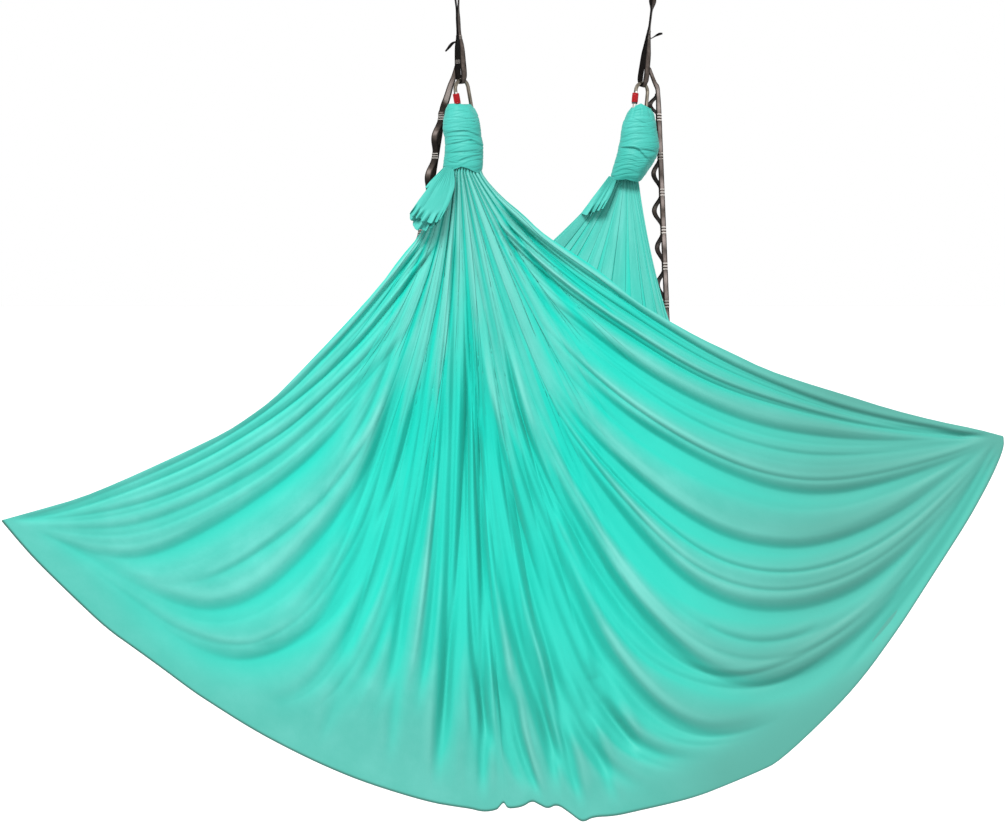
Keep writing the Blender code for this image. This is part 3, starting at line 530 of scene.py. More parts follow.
for f in FOLDS:
    # folds drawn from the middle of the cloth rise gently from nearer the knot
    sx0, sy0 = f["line"][0]
    if 330 < sx0 < 520 and sy0 > 430 and "start" not in f:
        f["line"] = [(sx0 + (455 - sx0) * u, sy0 + (190 - sy0) * u) for u in (0.55, 0.38, 0.20)] + list(f["line"])
        f["start"], f["along"] = 0.42, (0.15, f.get("along", (0.35, 1.0, 0.25))[1], f.get("along", (0.35, 1.0, 0.25))[2])


def between(first, second, share, deep, width, along):
    """A finer fold that runs between two others."""
    p, q = rounded(first["line"], 24), rounded(second["line"], 24)
    line = p * (1 - share) + q * share
    return fold([tuple(v) for v in line], deep, width, along=along, power=1.5)


def finer(folds, seed):
    rng = np.random.default_rng(seed)
    out = []
    for a, b in zip(folds, folds[1:]):
        for share in (0.30, 0.64):
            share += rng.uniform(-0.12, 0.12)
            out.append(between(a, b, share, rng.uniform(2.5, 6.5), (1.7, rng.uniform(2.2, 4.0), 1.8), (1.0, rng.uniform(0.15, 0.7), rng.uniform(0.1, 0.6))))
    return out


def pleats(a, count, seed, spread=0.45):
    """Irregular rounded pleats with sharp valleys across a in 0..1: (height 0..1, which pleat)."""
    a = np.clip(a, 0, 1)
    rng = np.random.default_rng(seed)
    widths = 1 + spread * rng.uniform(-1, 1, count)
    edges = np.concatenate([[0], np.cumsum(widths)])
    edges /= edges[-1]
    which = np.clip(np.searchsorted(edges, a, "right") - 1, 0, count - 1)
    u = (a - edges[which]) / (edges[which + 1] - edges[which])
    return np.sin(math.pi * np.clip(u, 0, 1)) ** 0.85, which


def smooth_step(x, lo, hi):
    u = np.clip((x - lo) / (hi - lo), 0, 1)
    return u * u * (3 - 2 * u)


RIGHT_RUN = [FOLDS[k] for k in (0, 1, 2, 3, 4, 5, 6, 7, 9, 10, 11, 13, 14, 15, 16, 17)]
LEFT_RUN = [FOLDS[k] for k in (20, 21, 22, 23, 24, 26, 28, 29, 30, 31, 32, 33, 34)]
FOLDS = FOLDS + finer(RIGHT_RUN, 41) + finer(LEFT_RUN, 43)
FOLDS.append(fold([(1000, 446), (974, 498), (940, 554), (902, 606), (868, 648), (832, 688)], 10, (2, 6, 4), along=(0.9, 1, 0.1), lower=1.3))
for f in FOLDS:
    if 240 < f["line"][0][1] < 420 and 380 < f["line"][0][0] < 620:
        f["start"] = 0.30
    if max(f["width"]) <= 3.7:
        f["deep"] *= 1.6


# ---------------------------------------------------------------- the sling's sheet
BOTTOM = [(2, 520.5), (20, 542), (38, 562), (76, 599), (107, 628), (134, 647), (163, 668), (191, 689), (206, 699), (250, 727), (289, 748), (329, 767), (369, 783), (428, 801), (458, 806), (470, 807.5), (483.5, 811), (497, 809), (500, 805), (504, 800.5), (507, 807.5), (516, 807), (524, 805), (532, 799.5), (540, 804), (548, 808), (557, 803), (570, 812), (580, 820), (585, 820.5), (593, 816), (615, 815), (637, 810), (677, 801), (701, 794), (719, 787), (760, 770), (780, 760), (830, 713), (863, 677), (897, 630), (911, 609), (929, 581), (947, 553), (963, 528), (976, 506), (993, 474), (1004, 447), (1003.5, 437)]
EDGE_LEFT = [(443, 168), (437, 192), (429, 216), (419, 236), (400, 258), (380, 286), (336, 334), (292, 380), (272, 400), (249, 417), (226, 432), (191, 449), (161, 463), (119, 482), (80, 498), (38, 510), (2, 520)]
EDGE_RIGHT = [(481, 168), (484, 177), (502, 197), (523, 214), (539, 230), (557, 243), (584, 260), (611, 280), (635, 301), (666, 319), (700, 338), (730, 352), (765, 369), (803, 382), (846, 395), (890, 409), (937, 421), (977, 429), (1003, 436)]
NA, NT, NB = ((841, 400, 200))


def half_surface(left, right, a, t, bottom):
    """Points of one half: a across the cloth (rows by columns), t from its knot (0) to the fold (1). bottom holds the
    fold's points at even steps of a."""
    steps = np.linspace(0, 1, len(bottom))
    p3 = np.stack([np.interp(a, steps, bottom[:, k]) for k in range(3)], -1)
    a, t = a[:, :, None], t[:, None, None]
    left, right = np.array(left), np.array(right)
    p0 = (1 - a) * left[0] + a * right[0]
    p1, p2 = p0 + (p3 - p0) / 3, p0 + (p3 - p0) * 2 / 3
    for e, w in ((left, np.clip(1 - 2 * a, 0, 1) ** 1.5), (right, np.clip(2 * a - 1, 0, 1) ** 1.5)):
        p1 = p1 + w * (e[1] - (e[0] + (e[3] - e[0]) / 3))
        p2 = p2 + w * (e[2] - (e[0] + (e[3] - e[0]) * 2 / 3))
    s = 1 - t
    return s**3 * p0 + 3 * s * s * t * p1 + 3 * s * t * t * p2 + t**3 * p3


def snap_edge(px, py, a, measured, right):
    """Moves the outermost strands onto a measured outline, fading inwards."""
    col = -1 if right else 0
    edge = np.stack([px[:, col], py[:, col]], 1)
    run = np.concatenate([[0], np.cumsum(np.linalg.norm(np.diff(edge, axis=0), axis=1))])
    target = rounded(measured, 400, 1)
    trun = np.linspace(0, 1, 400)
    want = np.stack([np.interp(run / run[-1], trun, target[:, k]) for k in (0, 1)], 1)
    delta = want - edge
    w = np.exp(-(((1 - a) if right else a) / 0.10) ** 1.5)
    return px + w * delta[:, :1], py + w * delta[:, 1:]


def knife_pleats(a, t, count, seed, deep, fades, apart=0.08):
    """Pleats laid one over the next, as gathered cloth lies: (place across the cloth, depth), rows by columns. The upper
    strand of each pair lies in front, on both halves. They open towards the fold."""
    rng = np.random.default_rng(seed)
    widths = rng.uniform(0.4, 1.7, count)
    edges = np.concatenate([[0], np.cumsum(widths)]) / widths.sum() * 0.5
    under, step = rng.uniform(0.74, 1.0, count), deep * rng.uniform(0.6, 1.3, count)
    fade = rng.uniform(*fades, count)
    left = a < 0.5
    b = np.where(left, a, 1 - a)
    k = np.clip(np.searchsorted(edges, b, "right") - 1, 0, count - 1)
    s = (b - edges[k]) / (edges[k + 1] - edges[k])
    u = under[k]
    laid = np.interp(s, (0, 0.5), (0, 1)) - np.interp(s, (0.5, 0.625, 0.75, 0.875, 1.0), (0, 1, 0.08, 1, 0)) * u
    back = np.interp(s, (0, 0.5, 0.54, 0.625, 0.75, 0.875, 1.0), (2.2, 0, 0.85, 1.2, 1.55, 1.9, 2.2)) - 0.55 * np.sin(np.pi * np.clip(s / 0.5, 0, 1)) ** 1.2
    T = t[:, None]
    open_up = smooth_step(T, 0.05, (fade[k] * np.where(left, 1, 1))[None, :])
    place = edges[k] + (edges[k + 1] - edges[k]) * (s + (laid - s) * (1 - open_up) ** 0.8)
    # the outermost strands keep the outline
    depth = step[k][None, :] * back[None, :] * (0.45 + 0.55 * smooth_step(T, 0.0, max(0.16, apart))) * (1 - smooth_step(T, apart, (fade[k] + 0.10)[None, :]))
    return np.where(left[None, :], place, 1 - place), depth


def lead_in(rows, middle, scale):
    """Rows that run on upwards from the first row, drawn together inside the knot."""
    more = []
    for k in range(8, 0, -1):
        u = k / 8
        row = rows[0].copy()
        row[:, 0] = middle[0] + (row[:, 0] - middle[0]) * (1 - (1 - scale) * u)
        row[:, 1] = middle[1] + (row[:, 1] - middle[1]) * (1 - (1 - scale) * u)
        row[:, 2] = rows[0][:, 2] + 0.040 * u
        more.append(row)
    return np.concatenate([np.array(more), rows])


def sling():
    a = np.linspace(0, 1, NA)
    fold_px = rounded(BOTTOM, NA, 2)
    depth = -0.200 + 0.100 * a + 0.014 * np.sin(2 * math.pi * a)
    fold_line = at(fold_px[:, 0], fold_px[:, 1], depth)

    # front half, from the near knot to the fold
    t = np.linspace(0, 1, NT) ** 1.05
    place, laid = knife_pleats(a, t, 9, 3, 0.0010, (0.26, 0.56))
    base = half_surface(FRONT_LEFT, FRONT_RIGHT, place, t, fold_line)
    px, py = seen(base)
    px, py = snap_edge(px, py, place, EDGE_LEFT, False)
    px, py = snap_edge(px, py, place, EDGE_RIGHT, True)
    y = base[..., 1].copy()
    calm = np.interp(px, (40, 120, 330, 420, 480, 560, 640, 740, 960), (0.16, 0.17, 0.33, 0.76, 1.0, 0.92, 0.64, 0.42, 0.34))
    push = fold_depth(px, py, FOLDS, 1.75) * calm
    # the cloth is pulled less tight near the fold, so its folds are rounder there
    softer = push
    for wing in ((1, 2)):
        softer = (np.roll(softer, wing, 1) + softer + np.roll(softer, -wing, 1)) / 3
    ease = smooth_step(py, 470, 650) * smooth_step(px, 320, 380) * (1 - smooth_step(px, 640, 720))
    push = push * (1 - ease) + 1.4 * softer * ease
    rng = np.random.default_rng(8)
    T = t[:, None]
    wide_fold, which = pleats(place, 13, 3)
    dies = rng.uniform(0.22, 0.70, 13)[which]
    amp = 0.0085 * (1 - smooth_step(T, 0.0, dies)) * rng.uniform(0.6, 1.2, 13)[which] * np.interp(place, (0, 0.25, 0.45, 1), (0.5, 0.6, 1.0, 1.0))
    hair, which3 = pleats(place, 90, 6)
    amp3 = (0.0009 * (1 - smooth_step(T, 0.10, 0.42)) * rng.uniform(0.2, 1.2, 90)[which3])
    strands, which4 = pleats(place, 60, 17, 0.7)
    middle = np.exp(-(((place - 0.47) / 0.17) ** 2)) * rng.uniform(0.1, 1.3, 60)[which4]
    amp4 = 0.0060 * middle * smooth_step(T, 0.06, 0.24) * (1 - smooth_step(T, 0.45, 0.90))
    y = y + push + laid - amp * (wide_fold - 0.5) - amp3 * (hair - 0.5) - amp4 * (strands - 0.5)
    # the bundle is round under the knot
    round_neck = np.sqrt(np.clip(1 - (2 * place - 1) ** 2, 0, 1))
    y = y - 0.030 * round_neck * (1 - smooth_step(T, 0.0, 0.32)) ** 1.5
    # near the fold the two halves lie close together
    close = smooth_step(T, 0.90, 1.0)
    hem_push = (y - base[..., 1])[-1] * 0.8
    y = y * (1 - close) + (depth[None, :] - 0.0040 + (y - base[..., 1]) * 0.8) * close
    front = lead_in(at(px, py, y), (-0.2200, -0.218), 0.70)

    # back half, from the fold to the far knot
    tb = np.linspace(0, 1, NB) ** 1.05
    place_b, laid_b = knife_pleats(a, tb, 6, 9, 0.0009, (0.62, 0.96), 0.45)
    back = half_surface(BACK_LEFT, BACK_RIGHT, place_b, tb, fold_line)
    bx, by = seen(back)
    yb = back[..., 1].copy()
    TB = tb[:, None]
    hb, wb = pleats(place_b, 11, 21)
    diesb = rng.uniform(0.45, 1.0, 11)[wb]
    soft_b = 0.0009 * (hb - 0.5) * (1 - smooth_step(TB, 0.0, diesb))
    # its swags are like the front's, the other way round
    vx, vy = seen(half_surface(FRONT_LEFT, FRONT_RIGHT, 1 - place_b, tb, fold_line))
    like_front = fold_depth(vx, vy, FOLDS, 1.75) * np.interp(vx, (40, 120, 330, 420, 480, 560, 640, 740, 960), (0.30, 0.34, 0.55, 0.76, 0.9, 0.9, 0.8, 0.62, 0.50))
    push_b = fold_depth(bx, by, BACK_FOLDS, 0.7) + like_front * smooth_step(TB, 0.26, 0.46) * (1 - smooth_step(TB, 0.70, 0.92))
    yb = yb + laid_b - soft_b - push_b
    closeb = smooth_step(TB, 0.90, 1.0)
    yb = yb * (1 - closeb) + (depth[None, :] + 0.0040 + hem_push[None, :]) * closeb
    back = lead_in(at(bx, by, yb), (0.168, 0.203), 0.70)

    # one sheet: front rows down, the fold's rounded rows, back rows up
    turn = []
    for k in range(1, 6):
        ang = math.pi * k / 6
        p = fold_line.copy()
        p[:, 1] += hem_push - 0.0040 * math.cos(ang)
        p[:, 2] -= 0.0030 * math.sin(ang)
        turn.append(p)
    rows = np.concatenate([front, np.array(turn), back[::-1]])
    run = np.concatenate([np.zeros((1, NA)), np.cumsum(np.linalg.norm(np.diff(rows, axis=0), axis=2), 0)])
    mean_run = run.mean(1, keepdims=True) + 0 * run
    uv = np.stack([np.broadcast_to(a[None, :] * CLOTH_W, mean_run.shape), mean_run], -1)
    dist = np.concatenate([np.full(8, 1.0), (1 - t), np.zeros(5), (1 - tb)[::-1], np.full(8, 1.0)])[:, None] * 1.5
    # painted shade: a thin dark line along the bottom fold, where the cloth turns under
    painted_hem_shade = np.broadcast_to(np.exp(-((dist / 0.0026) ** 2)), (len(rows), NA)).copy() * 0.9
    sx, sy = seen(rows)
    # painted shade: darker and greyer towards the right, the bottom and the far left of the sheet
    painted_outer_shade = np.clip(smooth_step(sx, 580, 890) * 1.05 + smooth_step(sy, 560, 790) * 0.50 + smooth_step(-sx, -330, -40) * 0.24, 0, 0.96)
    # painted shade in fold valleys and tucked crevices, and a painted highlight on fold lips and on the ridges of the
    # neck's strands
    painted_fold_shade, painted_crest_light = np.zeros(painted_outer_shade.shape), np.zeros(painted_outer_shade.shape)
    tucked = np.clip(laid / 0.0017, 0, 1) ** 1.2 * (1 - smooth_step(T, 0.30, 0.75))
    valley = np.clip((0.55 - wide_fold) / 0.55, 0, 1) * (1 - smooth_step(T, 0.04, 0.50))
    painted_fold_shade[8 : 8 + NT] = np.clip(np.clip(push / 0.010, 0, 1) ** 0.8 * 0.9 + tucked * 0.9 + valley * 0.8, 0, 1)
    tucked_b = np.clip(laid_b / 0.0012, 0, 1) ** 1.4 * 0.7 * (1 - smooth_step(TB, 0.3, 0.9))
    painted_fold_shade[8 + NT + 5 : 8 + NT + 5 + NB] = np.clip(np.clip(push_b / 0.010, 0, 1) ** 0.8 * 0.9 + tucked_b, 0, 1)[::-1]
    painted_crest_light[8 + NT + 5 : 8 + NT + 5 + NB] = np.clip(-push_b / 0.0030, 0, 1)[::-1] * 0.6
    painted_outer_shade = painted_outer_shade * (1 - 0.30 * painted_fold_shade)
    painted_crest_light[8 : 8 + NT] = np.clip(np.clip(-push / 0.0030, 0, 1) * 0.6 + np.clip(wide_fold - 0.45, 0, 1) * 1.6 * (1 - smooth_step(T, 0.02, 0.40)), 0, 1)
    obj = grid_mesh("sling_cloth", rows, CLOTH, uv, values={"fold_line": painted_hem_shade, "painted_outer_shade": painted_outer_shade, "painted_fold_shade": painted_fold_shade, "painted_crest_light": painted_crest_light})
    return obj


def back_swags():
    """Swags of the back half, from the far knot towards each tip, seen through the front in px."""
    out = []
    rng = np.random.default_rng(4)
    for tip, edge1, edge2, count in (((10, 520), (500, 330), (180, 500), 8), ((996, 440), (672, 420), (760, 560), 7)):
        for k in range(count):
            s = (k + 0.6) / count
            start = (616 + 14 * rng.uniform(-1, 1), 196)
            drop = 260 * s + 14 * rng.uniform(-1, 1)
            p1 = (edge1[0] + (start[0] - edge1[0]) * 0.5 * s, edge1[1] + drop * 0.9)
            p2 = (edge2[0] + (start[0] - edge2[0]) * 0.25 * s, edge2[1] + drop)
            u = np.linspace(0, 1, 14)[:, None]
            pts = (1 - u) ** 3 * np.array(start) + 3 * (1 - u) ** 2 * u * np.array(p1) + 3 * (1 - u) * u * u * np.array(p2) + u**3 * np.array(tip)
            out.append(fold([tuple(p) for p in pts], rng.uniform(8, 16), (4, 6 + 8 * s, 3), lower=1.3, along=(0.05, 1.0, 0.25), start=0.42))
    return out


BACK_FOLDS = back_swags()
cloth = sling()
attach(cloth, "sling")
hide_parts("sling_front", "sling_back")


# ---------------------------------------------------------------- knots
def knot(side, rows, depth, y0, creases, pleat_seed, top_rim, bottom_rim):
    """Cloth wrapped on itself over the carabiner's lower bow. The rims are its upper and lower edges in px."""
    z = np.array([r[0] for r in rows])
    fine_z = np.linspace(z[0], z[-1], 210)
    cx = np.interp(-fine_z, -z, [r[1] for r in rows])
    hw = np.interp(-fine_z, -z, [r[2] for r in rows])
    kernel = np.ones(7) / 7
    cx, hw = (np.convolve(np.pad(v, 3, "edge"), kernel, "valid") for v in (cx, hw))
    k = hw / hw.max()
    ang = np.linspace(0, 2 * math.pi, 220, endpoint=False)
    c, s = np.cos(ang), np.sin(ang)
    # a little squarer than an ellipse, as wrapped cloth is
    c, s = np.sign(c) * np.abs(c) ** 0.92, np.sign(s) * np.abs(s) ** 0.92
    out = np.stack([cx[:, None] + hw[:, None] * c, y0 + depth * k[:, None] * s, np.broadcast_to(fine_z[:, None], (len(fine_z), len(ang)))], -1)
    normal = np.stack([np.broadcast_to(np.cos(ang), out.shape[:2]), np.broadcast_to(np.sin(ang), out.shape[:2]), np.zeros(out.shape[:2])], -1)
    x, y = seen(out)
    near = np.clip(0.5 - 1.2 * np.sin(ang), 0, 1)[None, :]
    share = np.linspace(0, 1, len(fine_z))[:, None]
    upper = np.interp(x, *zip(*top_rim)) - y[:1]
    lower = np.interp(x, *zip(*bottom_rim)) - y[-1:]
    shift = upper * (1 - smooth_step(share, 0.0, 0.35)) + lower * smooth_step(share, 0.65, 1.0)
    out[..., 2] -= shift * near / 424
    y = y + shift * near
    push = fold_depth(x, y, creases, 0.8) * (np.sin(ang) < 0.1)[None, :]
    # fine wraps round the band, slightly tilted
    rng = np.random.default_rng(pleat_seed)
    wraps = np.zeros(out.shape[:2])
    for _ in range(100):
        zc = rng.uniform(z[-1], z[0] - 0.006)
        tilt, ph = rng.uniform(0.001, 0.015), rng.uniform(-1.5, 1.5)
        d = out[..., 2] - (zc + tilt * np.cos(ang - ph)[None, :] + 0.0015 * np.sin(3 * ang + ph)[None, :])
        here = 0.5 + 0.5 * np.cos(ang - rng.uniform(0, 6.28))[None, :]
        wraps += rng.uniform(0.0002, 0.0008) * here * np.exp(-np.abs(np.where(d > 0, d / 0.0006, d / 0.0022)) ** 1.3)
    out = out - normal * (push + wraps)[..., None]
    run = np.linspace(0, 1, len(ang)) * 2 * math.pi * 0.04
    uv = np.stack(np.broadcast_arrays(run[None, :], fine_z[:, None]), -1)
    # close the top down into itself, and the bottom up into the bundle
    def shrink(row, scale, dz):
        m = row.mean(0)
        r = m + (row - m) * scale
        r[:, 2] = row[:, 2] + dz
        return r
    top = [shrink(out[0], sc, dz) for sc, dz in ((0.35, -0.006), (0.62, -0.002), (0.85, 0.0008))]
    bottom = [shrink(out[-1], sc, dz) for sc, dz in ((0.97, -0.0012), (0.90, -0.0008), (0.80, 0.004), (0.6, 0.014))]
    full = np.concatenate([np.array(top), out, np.array(bottom)])
    uvf = np.concatenate([uv[:1]] * 3 + [uv] + [uv[-1:]] * 4)
    obj = grid_mesh(f"wrapped_knot_{side}", full, CLOTH_KNOT, uvf, wrap=True, caps=True)
    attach(obj, "sling")
    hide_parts(f"knot_{side}")
    return obj


LEFT_CREASES = [
    fold([(449, 112), (460, 110), (472, 114), (480, 119)], 0.8, (0.5, 0.8, 0.5), lower=1.8),
    fold([(446, 118), (458, 117), (470, 120), (481, 125)], 0.7, (0.5, 0.8, 0.5), lower=1.8),
    fold([(444, 128), (458, 127), (470, 128), (483, 132)], 0.8, (0.5, 0.8, 0.5), lower=1.8),
    fold([(443, 134), (455, 132), (468, 131), (483, 138)], 3.4, (0.8, 1.2, 0.9), lower=2.2),
    fold([(444, 138), (454, 136), (468, 136), (484, 141)], 1.2, (0.5, 0.9, 0.5), lower=1.8),
    fold([(445, 141), (456, 140), (470, 139), (484, 145)], 1.6, (0.5, 0.9, 0.6), lower=1.8),
    fold([(444, 146), (456, 143), (468, 141), (476, 139)], 2.6, (0.7, 1.1, 0.8), lower=2.0),
    fold([(470, 139), (476, 143), (484, 147)], 2.6, (0.7, 1.2, 0.8), lower=2.0),
    fold([(446, 151), (458, 152), (472, 151), (484, 149)], 0.8, (0.5, 0.8, 0.5), lower=1.8),
    fold([(456, 163), (466, 158), (476, 156), (484, 154)], 2.4, (0.7, 1.1, 0.8), lower=2.0),
    fold([(462, 165), (470, 161), (478, 160), (484, 159)], 1.6, (0.5, 0.9, 0.6), lower=1.8),
    fold([(444, 160), (452, 163), (460, 163)], 1.2, (0.5, 0.8, 0.5), lower=1.8),
]
RIGHT_CREASES = [
    fold([(628, 116), (640, 121), (653, 127)], 0.9, (0.5, 0.8, 0.5), lower=1.8),
    fold([(624, 126), (636, 122), (650, 123)], 1.0, (0.5, 0.8, 0.5), lower=1.8),
    fold([(622, 131), (634, 126), (650, 128)], 0.9, (0.5, 0.8, 0.5), lower=1.8),
    fold([(621, 138), (632, 133), (652, 134)], 1.0, (0.5, 0.8, 0.5), lower=1.8),
    fold([(620, 144), (632, 139), (646, 138)], 1.0, (0.5, 0.8, 0.5), lower=1.8),
    fold([(619, 148), (628, 148), (637, 149), (643, 155), (650, 162)], 5.5, (0.9, 1.5, 1.0), lower=2.0),
    fold([(637, 149), (646, 150), (657, 152)], 2.4, (0.7, 1.2, 0.7), lower=1.8),
    fold([(622, 156), (632, 155), (642, 160)], 1.0, (0.5, 0.8, 0.5), lower=1.8),
    fold([(614, 164), (626, 158), (640, 163)], 1.1, (0.5, 0.8, 0.5), lower=1.8),
    fold([(613, 170), (626, 163), (642, 168)], 1.1, (0.5, 0.8, 0.5), lower=1.8),
    fold([(611, 175), (624, 168), (640, 173)], 1.2, (0.5, 0.8, 0.5), lower=1.8),
    fold([(635, 106), (633, 114), (631, 120)], 1.6, (0.5, 0.9, 0.5)),
    fold([(641, 105), (641, 112), (642, 118)], 1.6, (0.5, 0.9, 0.5)),
    fold([(648, 108), (650, 114), (652, 120)], 1.6, (0.5, 0.9, 0.5)),
    fold([(652, 112), (654, 118), (655, 124)], 1.4, (0.5, 0.9, 0.5)),
]
TOP_LEFT = ((442, 112), (445, 107.5), (448.5, 104), (458, 103.5), (470, 106), (478, 111.5), (482, 119))
RIM_LEFT = ((442, 165), (447, 168), (452, 170), (457, 168), (461, 166.5), (468, 168), (476, 172), (484, 174.5))
TOP_RIGHT = ((625, 113), (629, 108.5), (633, 106.5), (641, 103.5), (648, 107), (654, 111), (658, 120))
RIM_RIGHT = ((609, 178), (616, 180), (626, 179), (638, 182), (645, 178), (651, 170))
knot_left = knot("left", ((-0.3635, -0.2290, 0.0270), (-0.3720, -0.2270, 0.0350), (-0.3830, -0.2255, 0.0390), (-0.4000, -0.2250, 0.0430), (-0.4250, -0.2243, 0.0446), (-0.4392, -0.2212, 0.0436), (-0.4576, -0.2188, 0.0448), (-0.4854, -0.2197, 0.0457), (-0.5039, -0.2215, 0.0461), (-0.5150, -0.2235, 0.0450)), 0.040, -0.218, LEFT_CREASES, 1, TOP_LEFT, RIM_LEFT)
knot_right = knot("right", ((-0.3635, 0.2049, 0.0240), (-0.3725, 0.2037, 0.0330), (-0.3918, 0.2013, 0.0399), (-0.4160, 0.2002, 0.0435), (-0.4401, 0.2010, 0.0470), (-0.4570, 0.2000, 0.0500), (-0.4811, 0.1942, 0.0496), (-0.5053, 0.1850, 0.0478), (-0.5250, 0.1745, 0.0430), (-0.5345, 0.1690, 0.0380)), 0.042, 0.203, RIGHT_CREASES, 2, TOP_RIGHT, RIM_RIGHT)


# ---------------------------------------------------------------- free ends of the cloth
def flap(name, top, hem, depth_top, depth_hem, folds, fold_deep, ruffles, seed, left=None, right=None, loops=1.0, curl_from=0.62, creases=0.0022):
    """A loose layer of cloth from a gathered top to a ruffled hem, both lines in px, with a few soft folds."""
    nc, nr = ((220, 130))
    rng = np.random.default_rng(seed)
    a, t = np.linspace(0, 1, nc), np.linspace(0, 1, nr)
    top, hem = spaced(top, nc), rounded(hem, nc, 1)
    left = rounded(left, nr) if left else top[0] + (hem[0] - top[0]) * t[:, None]
    right = rounded(right, nr) if right else top[-1] + (hem[-1] - top[-1]) * t[:, None]
    A, T = a[None, :, None], t[:, None, None]
    ruled = (1 - T) * top[None] + T * hem[None]
    corner = (1 - T) * ((1 - A) * top[0] + A * top[-1]) + T * ((1 - A) * hem[0] + A * hem[-1])
    p = ruled + (1 - A) * left[:, None] + A * right[:, None] - corner
    soft, _ = pleats(a, folds, seed, 0.6)
    tight, which = pleats(a, folds * 5, seed + 1, 0.7)
    a2, t2 = a[None, :], t[:, None]
    # the hem curls over in loops
    curl = smooth_step(t2, curl_from, 1.0) ** 1.3
    wob = np.sin(2 * math.pi * (ruffles * a2 + 0.25 * np.sin(7 * a2 + seed)) + 3 * t2)
    p[..., 0] += 1.5 * loops * curl * np.cos(2 * math.pi * ruffles * a2 + seed) * np.sin(math.pi * np.clip(a2, 0, 1)) ** 0.4
    p[..., 1] += loops * curl * (1.5 * wob + rng.uniform(-0.6, 0.6, folds * 5)[which][None, :])
    y = depth_top + (depth_hem - depth_top) * t2 - fold_deep * (soft[None, :] - 0.5) * smooth_step(t2, 0.0, 0.5) - creases * (tight[None, :] - 0.5) * (1 - smooth_step(t2, 0.05, 0.5)) - 0.0085 * loops * curl * wob
    pts = at(p[..., 0], p[..., 1], y)
    uv = np.stack(np.broadcast_arrays(a2 * 0.25, t2 * 0.14), -1)
    obj = grid_mesh(name, pts, CLOTH_END, uv)
    solid = obj.modifiers.new("cloth", "SOLIDIFY")
    solid.thickness, solid.offset = 0.0006, 0
    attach(obj, "sling")
    return obj


end_l1 = flap("cloth_end_left_back", [(443, 168), (451, 169)], [(425, 186.5), (429, 189), (433, 192), (443, 197)], -0.258, -0.262, 2, 0.0030, 1.5, 11)
end_l2 = flap("cloth_end_left_main", [(445, 167), (453.5, 169)], [(410, 212), (415, 217), (421, 220), (428, 222), (435, 222.5), (441, 218)], -0.264, -0.273, 3, 0.0018, 6.0, 12, left=[(445, 167), (434, 179), (427, 189), (418, 201), (410, 212)], right=[(453.5, 169), (455.5, 184), (451.5, 198), (447, 208), (441, 218)], loops=0.62, curl_from=0.74, creases=0.0012)
end_l3 = flap("cloth_end_left_under", [(444, 168), (452, 169)], [(409.5, 214), (412, 222), (417, 231), (424, 230), (431, 227), (437, 224)], -0.258, -0.262, 3, 0.0036, 4.5, 13, left=[(444, 168), (434, 184), (423, 199), (409.5, 214)], right=[(452, 169), (450, 190), (445, 208), (437, 224)], loops=0.7, curl_from=0.70, creases=0.0012)
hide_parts("cloth_end_left")
end_r1 = flap("cloth_end_right_main", [(609, 176), (617, 178)], [(581, 214), (586, 214), (593, 212), (603, 208)], 0.182, 0.160, 3, 0.0026, 3.5, 14, left=[(609, 176), (600, 188), (590, 201), (581, 214)], right=[(617, 178), (613, 190), (609, 199), (603, 208)], loops=0.7)
end_r2 = flap("cloth_end_right_back", [(609, 176), (615, 178)], [(582, 219), (588, 215), (597, 211)], 0.186, 0.168, 2, 0.0024, 1.5, 15)
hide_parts("cloth_end_right")


# ---------------------------------------------------------------- straps
def tack(name, centre, across, along, out, width, lift, bars=3, gap=0.0032, look=None, radius=0.00055):
    """Bar tacks: dense zigzag stitching in a few bars across the webbing, standing off its face."""
    parts = []
    for b in range(bars):
        mid = np.array(centre) + np.array(along) * (b - (bars - 1) / 2) * gap + np.array(out) * lift
        n = 21
        line = [mid + np.array(across) * width * (k / (n - 1) - 0.5) + np.array(along) * 0.0008 * (-1) ** k for k in range(n)]
        parts.append(tube(f"{name}_{b}", line, radius, look or THREAD, 6))
    return parts


